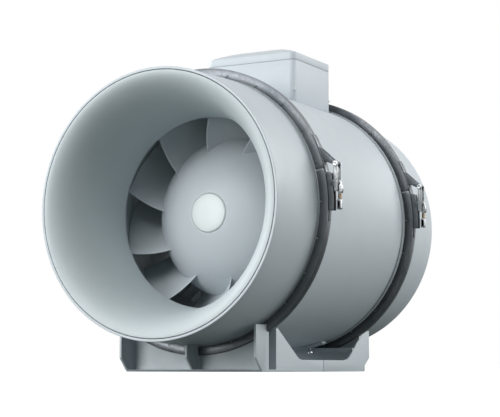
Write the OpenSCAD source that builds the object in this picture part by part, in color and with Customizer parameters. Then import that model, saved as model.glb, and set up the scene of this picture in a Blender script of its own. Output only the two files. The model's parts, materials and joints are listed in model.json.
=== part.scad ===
// Inline mixed-flow duct fan: an inlet bell, a clamped centre casing with the motor and
// impeller, an outlet spigot, a terminal box on top and a two-part stand below.
// The fan axis runs along Y, the air enters at -Y, and +Z is up.
// The origin is the middle of the stand's underside.

/* [Casing] */
// Outside diameter of both duct spigots
spigot_d = 310; // [290:1:330]
// Overall length from rim to rim
fan_l = 444; // [424:1:480]
// Height of the fan axis above the underside of the stand
axis_h = 188; // [186:1:230]
// Outside diameter of the centre casing
casing_d = 326.4; // [322:0.2:330]
// Wall of the moulded shells
shell_wall = 2.6; // [2:0.1:3.2]
// Straight length of each spigot that a duct slides over
spigot_l = 24; // [16:1:34]
// Axial length over which the spigot widens to the casing
flare_l = 48; // [36:1:56]
// Distance between the two clamped joints
joint_span = 248; // [236:1:260]
// How far the middle of the two joints lies behind the origin
joint_shift = 3; // [0:0.5:6]

/* [Air path] */
// Inside diameter of the bell at its throat
throat_d = 227; // [210:1:232]
// Distance from the origin forward to the end of the bell
throat_y = 112; // [108:1:116]
// Inside diameter of the duct behind the impeller
duct_bore_d = 306; // [300:1:308]
// Running gap between blade tips and shroud
tip_gap = 1.5; // [1:0.1:3]
// Number of guide vanes, one of them being the cable conduit
vane_count = 11; // [9:2:15]

/* [Impeller] */
// Number of impeller blades
blade_count = 10; // [8:1:12]
// Largest diameter of the impeller hub
hub_d = 200; // [188:1:206]
// Depth of the domed part of the hub
hub_depth = 73; // [66:1:78]
// Distance from the origin forward to the widest place of the dome
hub_y = 30; // [26:1:34]
// Length of the straight skirt behind the dome
hub_skirt = 18; // [10:1:20]
// Thickness of a blade
blade_t = 2.4; // [1.8:0.1:3.2]
// Wrap of a blade round the axis at its root, in degrees
blade_wrap = 44; // [34:1:48]
// Diameter of the cap on the nose
nose_cap_d = 47; // [40:1:50]

/* [Motor] */
// Diameter of the motor shaft
shaft_d = 12; // [10:1:14]
// Outside diameter of the motor
motor_d = 132; // [120:1:140]
// Length of the motor housing
motor_l = 80; // [76:1:86]
// Outside diameter of the shaft bearings
bearing_d = 32; // [30:1:36]
// Width of the shaft bearings
bearing_w = 10; // [8:1:12]

/* [Clamp bands] */
// Outside diameter of the clamp bands
band_d = 338; // [337:0.5:342]
// Width of the clamp bands
band_w = 10; // [10:0.5:13]
// Sheet thickness of the clamp bands
band_t = 1; // [0.8:0.1:1.4]
// Thickness of the seal between two flanges
seal_t = 0.8; // [0.6:0.1:1.2]
// Number of relief notches round each band
notch_count = 24; // [12:12:36]

/* [Latches] */
// Height of the catch pin above the clamp band
catch_rise = 15; // [13:0.5:18]
// Place of the catch pin round the fan, in degrees from the top
catch_a = 76; // [75:0.5:77]
// Distance between the catch pin and the lever pivot
pivot_drop = 21.6; // [20:0.2:23]
// Crank from the lever pivot to the hooked crossbar
crank = 7.8; // [7.4:0.1:8.6]
// Length of the handle below the lever pivot
handle_l = 30; // [27:1:34]
// Diameter of the pins in the latch
latch_pin_d = 2.4; // [2:0.1:2.8]

/* [Stand] */
// Overall length of the stand
stand_l = 310; // [304:1:320]
// Overall width of the stand
stand_w = 182.7; // [170:0.1:196]
// Wall of the stand
stand_wall = 3; // [2.4:0.1:4]
// Thickness of the floor of the stand
floor_t = 2.5; // [2:0.1:4]
// Distance between the fixing holes across the stand
hole_span_x = 130; // [110:1:140]
// Distance between the fixing holes along the stand
hole_span_y = 170; // [150:1:180]
// Diameter of the fixing holes
hole_d = 6.6; // [5:0.1:9]

/* [Terminal box] */
// Width of the terminal box
box_w = 126; // [110:1:136]
// Length of the terminal box along the fan
box_l = 103.5; // [90:0.5:106]
// Distance from the origin back to the front of the box
box_y = 2; // [0:0.5:8]
// Height of the seam under the lid above the casing
box_rise = 34.8; // [31:0.2:48]
// Height of the lid's skirt
lid_skirt = 9; // [7:0.5:14]
// Rise of the lid above its skirt
lid_rise = 12; // [8:0.5:16]
// Wall of the terminal box
box_wall = 2.6; // [2:0.1:3.4]
// Bore of the cable gland's seal
gland_bore = 9; // [7:0.5:10]

/* [Hidden] */
$fn = 96;

// Gap between fixed pieces that lie against each other.
seat = 0.1;
// Radial clearance of a turning pin or shaft in its bore.
running = 0.05;
// Gap between pieces that move past each other.
moving_gap = 0.4;
// Extra length with which a cut passes a face.
over = 1;

// Casing.
rim_front = -fan_l / 2;
rim_back = fan_l / 2;
joint_front = joint_shift - joint_span / 2;
joint_back = joint_shift + joint_span / 2;
spigot_r = spigot_d / 2;
casing_r = casing_d / 2;
rim_seam_r = spigot_r - 3.5;
rim_edge = 0.8;
rim_seat = 4;
bell_mouth_r = rim_seam_r - 1.3;
neck_r = casing_r - 1.2;
flange_r = band_d / 2 - band_t - 0.4;
flange_t = (band_w - 2 * band_t - seal_t) / 2 - 0.3;
lip_r = casing_r + 0.15;

// Air path.
throat_r = throat_d / 2;
bell_a = -rim_front - throat_y;
bell_b = bell_mouth_r - throat_r;
bell_power = 1.9;
bell_steps = 18;
bell_lean = 0.12;
shroud_start = -throat_y + 4;
shroud_lip_r = throat_r + shell_wall + 0.4;
duct_r = duct_bore_d / 2;
shroud_out = duct_r - shroud_lip_r;
shroud_steps = 16;
ring_start = 4;
socket_l = 6;
socket_t = 2;
duct_end = joint_back - 12;
duct_rib = 3;
casing_inside_r = casing_r - shell_wall - seat;
bulkhead_y = joint_front + seal_t / 2 + flange_t + 2;

// Impeller.
hub_r = hub_d / 2;
hub_wall = 3.4;
hub_steps = 14;
boss_r = shaft_d / 2 + 8;
thread_r = shaft_d / 2 - 2;
nut_r = thread_r + 3.4;
nut_h = 5.6;
nose_y = -hub_y - hub_depth;
ledge_y = nose_y + 6;
boss_y = nose_y + 14;
cup_r = 18;
hub_back = -hub_y + hub_skirt;
root_sink = 1.6;
lead_depth = 45;
lead_sweep = 15;
lead_root_y = -hub_y - lead_depth;
lead_tip_y = lead_root_y - lead_sweep;
trail_root_l = 6;
trail_tip_l = 17;
trail_root_y = hub_back - trail_root_l;
trail_tip_y = hub_back - trail_tip_l;
lead_lag = 9.8;
lead_a = -12.4;
tip_wrap_cut = 10;
chord_steps = 10;
span_steps = 6;

// Guide vanes and motor.
stator_front = hub_back + 4;
stator_back = duct_end - 12;
stator_hub_r = hub_r - 1.5;
vane_t = 2.6;
vane_front = stator_front + 18;
vane_back = stator_back - 6;
vane_l = vane_back - vane_front;
vane_camber_r = vane_l * 1.25;
vane_x = sqrt(pow(stator_hub_r, 2) - pow(vane_l / 2, 2)) - over;
web_y = stator_front + 12;
web_t = 4;
motor_front = web_y + web_t;
motor_back = motor_front + motor_l;
motor_r = motor_d / 2;
motor_wall = 3;
cap_t = 4;
nose_l = 6;
nose_r = bearing_d / 2 + 4;
core_bore_r = motor_r - 28;
core_inset = 22;
winding_l = 10;
winding_t = 12;
air_gap = 0.5;
lead_y = box_y + box_l / 2;
lead_r = 3.5;
conduit_r = lead_r + 3;
tail_l = 62;
collar_t = 3;
tail_t = 3;
motor_screw_r = 52;
motor_screw_hole = 1.7;

// Latches.
latch_half = 2.4;
ear_t = 1;
ear_in = latch_half + moving_gap;
ear_out = ear_in + ear_t;
link_in = ear_out + moving_gap;
link_out = link_in + ear_t;
pin_end = link_out + 0.3;
pin_r = latch_pin_d / 2;
pin_hold = 0.02;
bar_r = 1;
bar_room = 0.25;
catch_r = band_d / 2 + catch_rise;
catch_p = [catch_r * sin(catch_a), catch_r * cos(catch_a)];
pivot_p = catch_p + [1.6, -pivot_drop];
bar_p = pivot_p + [-1.6, -crank];
boss_lever_r = 3.4;
handle_tip = -handle_l;
band_r = band_d / 2;
band_gap = 2;
notch_a = 14;
notch_w = 1.2;
notch_l = 3;
eye_r = pin_r + 1.6;
latch_seat_r = band_r + seat;
plate_t = 1.4;
tail_plate_t = 1.1;
catch_a0 = 62;
catch_a1 = 73.2;
channel_h = 6.4;
channel_a0 = 78.2;
tongue_a1 = channel_a0 - 0.3;
channel_a1 = 92.5;
slot_back = 1.9;
stem_x = 1.4;
stem_r = 1.3;
loop_top = -18.4;
loop_w = 3;
loop_bar = 1.6;
hook_end = -11.6;
hook_way = 4.6;
stem_l = hook_end - loop_top;

// Stand.
stand_mid = joint_shift;
stand_y0 = stand_mid - stand_l / 2;
stand_y1 = stand_mid + stand_l / 2;
seam_y = 22;
side_x = stand_w / 2;
wall_y = joint_front - 3.2;
rear_wall_y = joint_back + 3.2;
recess_l = 18;
side_y0 = wall_y + stand_wall + recess_l;
chamfer_y = 15;
chamfer_z = 16;
sill_z = 14;
saddle_r = casing_r + 0.3;
side_drop = 1.9;
side_top_z = axis_h - sqrt(pow(saddle_r, 2) - pow(side_x, 2)) - side_drop;
slope_l = 47;
sill_y0 = side_y0 + slope_l + 20;
pad_a = 15;
pad_rise = 5.5;
saddle_wall_h = axis_h - saddle_r + pad_rise;
pad_l = 14;
screw_a = 168;
brace_x = 45;
rib_x = side_x - stand_wall / 2;
rear_top_y = stand_y1 - 16.5;
rear_slope_l = 40.5;
rear_slope_y = rear_top_y - rear_slope_l;
rear_foot_l = 14;
stand_screw_r = 1.5;
stand_screw_way = 20;

// Terminal box.
box_mid = [0, box_y + box_l / 2];
box_corner = 8;
box_floor = casing_r + 1.2;
box_seam = casing_r + box_rise;
gasket_t = 1;
post_inset = 10;
post_r = 5;
plate_z = 2.4;
box_screw_x = 40;
box_screw_inset = 22;
box_screw_r = 1.5;
box_screw_l = 13;
lid_seat = 6;
block_w = 48;
block_l = 18;
block_h = 15;
way_step = 12;
capacitor_r = 13;
capacitor_l = 50;
gland_z = box_seam - 14;
gland_y = box_y + box_l * 0.62;
gland_r = 9.8;
gland_shank_r = 8;
gland_shank_l = 7;
gland_l = 13;
gland_nut_r = gland_r + 1;
lid_in = 0.8;

// ---------- helpers ----------

// Puts a shape that was drawn round Z on the fan axis, its +Z pointing to +Y.
module on_axis() {
    translate([0, 0, axis_h]) rotate([-90, 0, 0]) children();
}

// Turns a shape drawn at +X to the angle a, counted from the top towards +X.
module at_angle(a) {
    on_axis() rotate([0, 0, a - 90]) children();
}

// Revolves an outline of [radius, place along the axis] points.
module turned(outline) {
    on_axis() rotate_extrude($fn = 144) polygon(outline);
}

// A ring from y0 to y1 on the fan axis.
module ring(r_out, r_in, y0, y1) {
    on_axis() translate([0, 0, y0]) difference() {
        cylinder(r = r_out, h = y1 - y0, $fn = 144);
        translate([0, 0, -over]) cylinder(r = r_in, h = y1 - y0 + 2 * over, $fn = 144);
    }
}

// A sector of a ring between the angles a0 and a1.
module arc_plate(r_out, r_in, y0, y1, a0, a1) {
    on_axis() rotate([0, 0, a0 - 90])
        rotate_extrude(angle = a1 - a0, $fn = 144)
            translate([r_in, y0]) square([r_out - r_in, y1 - y0]);
}

// A plate whose outline lies across the axis, in [x, z - axis_h], from y0 to y1.
module cross_plate(y0, y1) {
    translate([0, y1, axis_h]) rotate([90, 0, 0]) linear_extrude(y1 - y0) children();
}

// A plate whose outline lies along the axis, in [y, z], from x0 to x1.
module side_plate(x0, x1) {
    translate([x0, 0, 0]) rotate([90, 0, 90]) linear_extrude(x1 - x0) children();
}

// A straight-sided rectangle with round corners.
module round_rect(w, l, r) {
    square([w - 2 * r, l], center = true);
    square([w, l - 2 * r], center = true);
    for (x = [-1, 1], y = [-1, 1])
        translate([x * (w / 2 - r), y * (l / 2 - r)]) circle(r = r, $fn = 48);
}

// A pan-head screw along +Z with its head's seat at z = 0 and its shank going down.
module screw(head_r, head_h, shank_r, shank_l) {
    difference() {
        cylinder(r = head_r, h = head_h, $fn = 32);
        for (a = [0, 90])
            rotate([0, 0, a]) translate([-head_r * 0.6, -head_r * 0.12, head_h * 0.5])
                cube([head_r * 1.2, head_r * 0.24, head_h]);
    }
    translate([0, 0, -shank_l]) cylinder(r = shank_r, h = shank_l, $fn = 32);
}

// ---------- outlines ----------

// Inside radius of the bell at the place y.
function bell_u(y) = (-throat_y - y) / bell_a;
function bell_r(y) = throat_r + bell_b * (1 - pow(1 - pow(bell_u(y), bell_power), 1 / bell_power));

// Places along the bell, close together where it opens out.
function bell_y(i) = -throat_y - bell_a * sin(90 * i / bell_steps);

// Inside radius of the shroud at the place y.
function shroud_u(y) = min(1, max(0, (y - shroud_start) / -shroud_start));
function shroud_r(y) = shroud_lip_r + shroud_out * sin(90 * shroud_u(y));

// Outside radius of the impeller hub at the place y.
function hub_u(y) = (-hub_y - y) / hub_depth;
function hub_at(y) = y > -hub_y ? hub_r : hub_r * sqrt(max(0, 1 - pow(hub_u(y), 2)));

// Outer surface of a spigot shell: straight, then widening to the neck.
function flare_r(s) = spigot_r + (neck_r - spigot_r) * (1 - pow(1 - s, 1.5));

// ---------- casing ----------

// One end shell, drawn for the inlet: y runs from its rim to its flange.
module end_shell(rim, joint, dir) {
    steps = 6;
    straight = rim + dir * spigot_l;
    face = joint - dir * seal_t / 2;
    shoulder = face - dir * flange_t;
    outer = concat(
        [[spigot_r - rim_edge, rim], [spigot_r, rim + dir * rim_edge]],
        [for (i = [0:steps]) [flare_r(i / steps), straight + dir * flare_l * i / steps]],
        [[neck_r, shoulder], [flange_r, shoulder], [flange_r, face]]
    );
    inner = concat(
        [[neck_r - shell_wall, face]],
        [for (i = [steps:-1:0]) [flare_r(i / steps) - shell_wall, straight + dir * flare_l * i / steps]],
        [[spigot_r - shell_wall, rim + dir * (rim_seat + 1)], [rim_seam_r + seat, rim + dir * rim_seat]],
        [[rim_seam_r + seat, rim + dir * rim_edge], [rim_seam_r + seat + rim_edge / 2, rim]]
    );
    turned(concat(outer, inner));
}

module inlet_spigot() {
    color("gainsboro") end_shell(rim_front, joint_front, 1);
}

module outlet_spigot() {
    color("gainsboro") end_shell(rim_back, joint_back, -1);
}

module inlet_bell() {
    tail = shroud_start - 1;
    inner = concat(
        [for (i = [bell_steps:-1:0]) [bell_r(bell_y(i)), bell_y(i)]],
        [[throat_r, tail]]
    );
    outer = concat(
        [[throat_r + shell_wall, tail]],
        [for (i = [0:bell_steps - 2]) [bell_r(bell_y(i)) + shell_wall, bell_y(i) + i * bell_lean]],
        [[rim_seam_r - seat, rim_front + rim_seat], [rim_seam_r - seat, rim_front + rim_edge]],
        [[rim_seam_r - seat - rim_edge / 2, rim_front]]
    );
    color("gainsboro") turned(concat(inner, outer));
}

module flange_seal(joint) {
    color("dimgray") ring(flange_r - 0.6, neck_r - shell_wall + 1, joint - seal_t / 2, joint + seal_t / 2);
}

module inlet_seal() {
    flange_seal(joint_front);
}

module outlet_seal() {
    flange_seal(joint_back);
}

module centre_casing() {
    y0 = joint_front + seal_t / 2;
    y1 = joint_back - seal_t / 2;
    color("silver") difference() {
        union() {
            ring(casing_r, casing_r - shell_wall, y0, y1);
            ring(flange_r, casing_r - shell_wall, y0, y0 + flange_t);
            ring(flange_r, casing_r - shell_wall, y1 - flange_t, y1);
        }
        lead_way(0, lead_r + 1.5, casing_r + over);
        casing_screw_holes();
        stand_screw_places()
            cylinder(r = stand_screw_r + seat, h = stand_screw_way, center = true, $fn = 32);
    }
}

// A round bar along the way of the motor lead, up from the radius r0 to r1.
module lead_way(r0, r, r1) {
    at_angle(0) translate([r0, 0, lead_y]) rotate([0, 90, 0]) cylinder(r = r, h = r1 - r0, $fn = 48);
}

// Wall between the casing and the shroud, with the hole that the bell reaches through.
module bulkhead() {
    color("silver") ring(casing_inside_r, shroud_lip_r, bulkhead_y, bulkhead_y + duct_rib);
}

// Shroud of the impeller, which widens from the bulkhead to the straight duct.
module shroud() {
    front = bulkhead_y + duct_rib + seat;
    function place(i) = shroud_start * (1 - i / shroud_steps);
    inner = concat(
        [[shroud_lip_r, front]],
        [for (i = [0:shroud_steps]) [shroud_r(place(i)), place(i)]],
        [[duct_r, ring_start - seat], [duct_r + shell_wall, ring_start - seat]]
    );
    outer = concat(
        [for (i = [shroud_steps:-1:0]) [shroud_r(place(i)) + shell_wall, place(i)]],
        [[shroud_lip_r + shell_wall, front]]
    );
    color("silver") turned(concat(inner, outer));
}

// ---------- guide vanes, motor ----------

// Straight duct behind the shroud, which carries the vanes and rests in the casing.
module vane_ring() {
    wall_r = duct_r + shell_wall;
    socket_r = wall_r + seat;
    color("silver") difference() {
        turned([
            [duct_r, ring_start], [socket_r, ring_start], [socket_r, ring_start - socket_l],
            [socket_r + socket_t, ring_start - socket_l], [socket_r + socket_t, ring_start + socket_t],
            [wall_r, ring_start + socket_t], [wall_r, duct_end - duct_rib],
            [casing_inside_r, duct_end - duct_rib], [casing_inside_r, duct_end], [duct_r, duct_end]
        ]);
        lead_way(0, lead_r + 1.2, casing_r);
    }
}

// Cup that holds the motor, with a web in front of it.
module motor_cup() {
    color("silver") difference() {
        union() {
            ring(stator_hub_r, stator_hub_r - collar_t, stator_front, stator_back);
            ring(stator_hub_r - 2, nose_r + 1, web_y, web_y + web_t);
        }
        lead_way(stator_hub_r - 2 * collar_t, lead_r + 0.6, duct_r);
        motor_screw_places() translate([0, 0, -over])
            cylinder(r = motor_screw_hole + 0.5, h = web_t + 2 * over, $fn = 32);
        tail_screw_places()
            cylinder(r = motor_screw_hole, h = 2 * collar_t + over, center = true, $fn = 32);
    }
}

// One vane, its camber an arc that turns the flow back to the axis.
module vane(a) {
    at_angle(a) translate([vane_x, 0, 0]) intersection() {
        rotate([0, 90, 0]) linear_extrude(duct_r - vane_x) translate([-vane_back, vane_camber_r])
            difference() {
                circle(r = vane_camber_r, $fn = 180);
                circle(r = vane_camber_r - vane_t, $fn = 180);
            }
        translate([-over, -over, vane_front]) cube([duct_r, vane_camber_r, vane_l]);
    }
}

// Vanes between the cup and the ring, and at the top the conduit of the motor lead.
module guide_vanes() {
    color("silver") intersection() {
        union() {
            for (i = [1:vane_count - 1]) vane(i * 360 / vane_count);
            difference() {
                lead_way(vane_x, conduit_r, duct_r);
                lead_way(0, lead_r + 0.6, duct_r + over);
            }
        }
        ring(duct_r - seat, stator_hub_r + seat, vane_front, vane_back);
    }
}

module tail_cone() {
    y0 = stator_back + seat;
    steps = 10;
    function tail_r(s) = stator_hub_r * sqrt(max(0, 1 - pow(s, 2.2)));
    function part(i) = sin(90 * i / steps);
    outer = [for (i = [0:steps]) [tail_r(part(i)), y0 + tail_l * part(i)]];
    inner = [for (i = [steps:-1:0]) [max(0, tail_r(part(i)) - tail_t), y0 + (tail_l - tail_t) * part(i)]];
    color("silver") difference() {
        union() {
            turned(concat(outer, inner));
            // Collar that centres the cone in the hub of the guide vanes.
            ring(stator_hub_r - collar_t - seat, stator_hub_r - 2 * collar_t, y0 - 8, y0 + 4);
        }
        tail_screw_places() cylinder(r = 1.5, h = 6 * collar_t, center = true, $fn = 32);
    }
}

// Places of the screws through the hub of the guide vanes into the tail cone's collar,
// with +Z pointing outwards.
module tail_screw_places() {
    for (a = [49:120:289])
        at_angle(a) translate([stator_hub_r, 0, stator_back - 4]) rotate([0, 90, 0]) children();
}

module tail_screws() {
    color("lightgray") tail_screw_places() translate([0, 0, seat]) screw(3, 1.8, 1.4, 2 * collar_t - 0.5);
}

module motor_housing() {
    color("slategray") difference() {
        union() {
            ring(motor_r, motor_r - motor_wall, motor_front, motor_back);
            ring(motor_r, bearing_d / 2 + seat, motor_front + seat, motor_front + cap_t);
            ring(nose_r, bearing_d / 2 + seat, motor_front - nose_l, motor_front + bearing_w - nose_l + 2);
            ring(nose_r, shaft_d / 2 + 1.5, motor_front - nose_l - 2, motor_front - nose_l);
        }
        motor_screw_places() cylinder(r = motor_screw_hole, h = web_t + cap_t + over, $fn = 32);
        lead_way(0, lead_r + 0.6, motor_r + over);
    }
}

// Places of the screws through the web of the guide vanes into the motor's front.
module motor_screw_places() {
    for (a = [45:90:315]) at_angle(a) translate([motor_screw_r, 0, web_y]) children();
}

module motor_end_cap() {
    y0 = motor_back + seat;
    color("slategray") {
        ring(motor_r, bearing_d / 2 + seat, y0, y0 + cap_t);
        ring(nose_r, bearing_d / 2 + seat, y0 + cap_t - bearing_w, y0 + cap_t);
        on_axis() translate([0, 0, y0 + cap_t]) cylinder(r = nose_r, h = 2);
        ring(motor_r - motor_wall - seat, motor_r - 2 * motor_wall, y0 - cap_t, y0 + 1);
    }
}

module motor_screws() {
    color("lightgray") motor_screw_places() translate([0, 0, -seat]) rotate([180, 0, 0])
        screw(4, 2.4, motor_screw_hole - seat, web_t + 3);
}

module motor_core() {
    color("dimgray")
        ring(motor_r - motor_wall - seat, core_bore_r, motor_front + core_inset, motor_back - core_inset);
}

module motor_windings() {
    mid = (core_bore_r + motor_r) / 2 - 1;
    color("peru") for (y0 = [motor_front + core_inset - winding_l - seat, motor_back - core_inset + seat])
        ring(mid + winding_t / 2, mid - winding_t / 2, y0, y0 + winding_l);
}

module shaft_bearing(y) {
    color("lightgray") difference() {
        ring(bearing_d / 2, shaft_d / 2 + running, y, y + bearing_w);
        for (face = [y - over, y + bearing_w - 0.6])
            ring(bearing_d / 2 - 3, shaft_d / 2 + 3, face, face + 0.6 + over);
    }
}

module front_bearing() {
    shaft_bearing(motor_front - nose_l + seat);
}

module rear_bearing() {
    shaft_bearing(motor_back + cap_t - bearing_w);
}

module motor_lead() {
    color("black") lead_way(motor_r - 2, lead_r, box_floor + 12);
}

// ---------- turning parts ----------

module motor_shaft() {
    y0 = nose_y + 4.5;
    y1 = boss_y + 0.2;
    y2 = motor_back + 3.4;
    color("lightgray") on_axis() {
        translate([0, 0, y0]) cylinder(r = thread_r, h = y1 - y0);
        translate([0, 0, y1]) cylinder(r = shaft_d / 2, h = y2 - y1);
    }
}

module motor_rotor() {
    inset = core_inset + 1;
    color("gray")
        ring(core_bore_r - air_gap, shaft_d / 2 + pin_hold, motor_front + inset, motor_back - inset);
}

// Mean surface of a blade; s runs along the chord and t from root to tip.
function mix(a, b, t) = a + (b - a) * t;
function blade_y(s, t) = mix(mix(lead_root_y, lead_tip_y, t), mix(trail_root_y, trail_tip_y, t), s);
function blade_root(s) = hub_at(blade_y(s, 0)) - root_sink;
function blade_tip(s) = shroud_r(blade_y(s, 1)) - tip_gap;
function blade_r(s, t) = mix(blade_root(s), blade_tip(s), t);
function blade_a(s, t) = lead_a + lead_lag * pow(t, 1.15) + (blade_wrap - tip_wrap_cut * t) * s;
function blade_half(s) = blade_t / 2 * (0.45 + 0.55 * sin(180 * pow(s, 0.7)));
function blade_point(s, t, side) =
    let (
        off = side * blade_half(s) * sqrt(0.5),
        r = blade_r(s, t),
        a = blade_a(s, t) + atan(off / r)
    ) [r * sin(a), blade_y(s, t) - off, r * cos(a)];

module blade() {
    n = chord_steps + 1;
    m = span_steps + 1;
    points = [for (side = [-1, 1], j = [0:span_steps], i = [0:chord_steps])
        blade_point(i / chord_steps, j / span_steps, side)];
    function id(side, i, j) = side * n * m + j * n + i;
    // Two triangles for the corners a, b, c, d that are walked round from outside.
    function two(a, b, c, d, k) = k == 0 ? [a, b, c] : [a, c, d];
    faces = [for (j = [0:span_steps - 1], i = [0:chord_steps - 1], k = [0, 1], side = [0, 1])
        side == 0
            ? two(id(0, i, j), id(0, i + 1, j), id(0, i + 1, j + 1), id(0, i, j + 1), k)
            : two(id(1, i, j), id(1, i, j + 1), id(1, i + 1, j + 1), id(1, i + 1, j), k)];
    ends = [for (j = [0:span_steps - 1], k = [0, 1], i = [0, chord_steps])
        i == 0
            ? two(id(0, i, j), id(0, i, j + 1), id(1, i, j + 1), id(1, i, j), k)
            : two(id(0, i, j), id(1, i, j), id(1, i, j + 1), id(0, i, j + 1), k)];
    edges = [for (i = [0:chord_steps - 1], k = [0, 1], j = [0, span_steps])
        j == 0
            ? two(id(0, i, j), id(1, i, j), id(1, i + 1, j), id(0, i + 1, j), k)
            : two(id(0, i, j), id(0, i + 1, j), id(1, i + 1, j), id(1, i, j), k)];
    polyhedron(points, concat(faces, ends, edges));
}

// Places along the dome of the hub, close together at its nose.
function dome_y(i) = -hub_y - hub_depth * cos(90 * i / hub_steps);

module impeller_hub() {
    cap_r = nose_cap_d / 2 + seat;
    bore_r = shaft_d / 2 + pin_hold;
    cap_edge = -hub_y - hub_depth * sqrt(1 - pow(cap_r / hub_r, 2));
    first = ceil(hub_steps * asin(cap_r / hub_r) / 90 + 0.2);
    outer = concat(
        [[bore_r, boss_y], [cup_r, boss_y], [cup_r, ledge_y], [cap_r, ledge_y], [cap_r, cap_edge]],
        [for (i = [first:hub_steps]) [hub_at(dome_y(i)), dome_y(i)]],
        [[hub_r, hub_back]]
    );
    inner = concat(
        [[hub_r - hub_wall, hub_back]],
        [for (i = [hub_steps:-1:first]) [hub_at(dome_y(i)) - hub_wall, dome_y(i) + hub_wall * 0.6]],
        [[cap_r + hub_wall, ledge_y + hub_wall], [cup_r + hub_wall, ledge_y + hub_wall]],
        [[cup_r + hub_wall, boss_y + 4], [boss_r, boss_y + 4]],
        [[boss_r, hub_back - 4], [bore_r, hub_back - 4]]
    );
    color("gainsboro") turned(concat(outer, inner));
}

module impeller_blades() {
    color("gainsboro") difference() {
        for (i = [0:blade_count - 1])
            translate([0, 0, axis_h]) rotate([0, i * 360 / blade_count, 0]) blade();
        // The hub, on which the blades stand.
        turned(concat(
            [[0, dome_y(1)]],
            [for (i = [1:hub_steps]) [hub_at(dome_y(i)) + seat, dome_y(i)]],
            [[hub_r + seat, hub_back], [0, hub_back]]
        ));
    }
}

module impeller_washer() {
    color("lightgray") ring(10, thread_r + 0.2, boss_y - 1.3, boss_y - seat);
}

module impeller_nut() {
    color("lightgray") on_axis() translate([0, 0, boss_y - 1.4 - nut_h]) difference() {
        cylinder(r = nut_r, h = nut_h, $fn = 6);
        translate([0, 0, -over]) cylinder(r = thread_r + running, h = nut_h + 2 * over, $fn = 48);
    }
}

module nose_cap() {
    r = nose_cap_d / 2;
    y0 = nose_y - 0.8;
    y1 = ledge_y - seat;
    color("whitesmoke") turned([
        [0, y0], [r * 0.45, y0 + 0.3], [r * 0.8, y0 + 1], [r - 0.8, y0 + 1.8], [r, y0 + 2.8], [r, y1],
        [r - 2.2, y1], [r - 2.2, y0 + 3.4], [r * 0.5, y0 + 2.2], [0, y0 + 1.9]
    ]);
}

// ---------- clamp bands and latches ----------

function polar(r, a) = [r * sin(a), r * cos(a)];

// Spring band of U section that grips both flanges of a joint.
module clamp_band(joint) {
    y0 = joint - band_w / 2;
    y1 = joint + band_w / 2;
    color("lightgray") difference() {
        turned([
            [band_r, y0], [band_r, y1], [lip_r, y1], [lip_r, y1 - band_t], [band_r - band_t, y1 - band_t],
            [band_r - band_t, y0 + band_t], [lip_r, y0 + band_t], [lip_r, y0]
        ]);
        // Gap that the latch closes.
        at_angle(catch_a) translate([lip_r - over, -band_gap / 2, y0 - over])
            cube([band_r - lip_r + 2 * over, band_gap, band_w + 2 * over]);
        // Relief notches in both lips.
        for (i = [0:notch_count - 1]) at_angle(notch_a + i * 360 / notch_count)
            translate([lip_r - over, -notch_w / 2, y0 - over])
                cube([notch_l + over, notch_w, band_w + 2 * over]);
    }
}

// Bracket on the upper end of the band: two ears for the catch pin, and a tongue over the band's gap.
module catch_bracket(joint) {
    half = band_w / 2 - 0.4;
    color("silver") difference() {
        union() {
            arc_plate(latch_seat_r + plate_t, latch_seat_r, joint - half, joint + half, catch_a0, tongue_a1);
            for (y = [-ear_out, ear_in]) cross_plate(joint + y, joint + y + ear_t) {
                polygon([
                    polar(latch_seat_r + plate_t / 2, catch_a0 + 5), catch_p + [1.5, 2.4],
                    catch_p + [-1.5, -2.4], polar(latch_seat_r + plate_t / 2, catch_a1)
                ]);
                translate(catch_p) circle(r = eye_r, $fn = 48);
            }
        }
        pin_bore(joint, catch_p);
    }
}

// Bore through both ears for a pin that is held fast.
module pin_bore(joint, place) {
    cross_plate(joint - ear_out - over, joint + ear_out + over)
        translate(place) circle(r = pin_r + pin_hold, $fn = 48);
}

module catch_pin(joint) {
    color("lightgray") {
        cross_plate(joint - pin_end, joint + pin_end) translate(catch_p) circle(r = pin_r, $fn = 48);
        translate([catch_p[0], joint - pin_end, axis_h + catch_p[1]]) rotate([90, 0, 0])
            screw(eye_r + 0.2, 1.6, pin_r, 0.1);
        cross_plate(joint + pin_end, joint + pin_end + 0.8) translate(catch_p) circle(r = 2.2, $fn = 48);
    }
}

// Channel on the lower end of the band: floor, two flanges, ears for the lever and a tail.
module latch_channel(joint) {
    seat_r = latch_seat_r;
    color("silver") difference() {
        union() {
            arc_plate(seat_r + plate_t, seat_r, joint - ear_out, joint + ear_out, channel_a0, channel_a1);
            arc_plate(seat_r + tail_plate_t, seat_r, joint - 2, joint + 2, channel_a1 - 1, channel_a1 + 4);
            for (y = [-ear_out, ear_in]) {
                arc_plate(seat_r + channel_h, seat_r, joint + y, joint + y + ear_t, channel_a0, channel_a1);
                cross_plate(joint + y, joint + y + ear_t) {
                    polygon([
                        pivot_p + [0, eye_r], pivot_p + [0, -eye_r],
                        [seat_r + 2, pivot_p[1] - 4], [seat_r + 1, pivot_p[1] + 5]
                    ]);
                    translate(pivot_p) circle(r = eye_r, $fn = 48);
                }
            }
        }
        pin_bore(joint, pivot_p);
    }
}

module lever_pin(joint) {
    color("lightgray") cross_plate(joint - ear_out - seat, joint + ear_out + seat)
        translate(pivot_p) circle(r = pin_r, $fn = 48);
}

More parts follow.
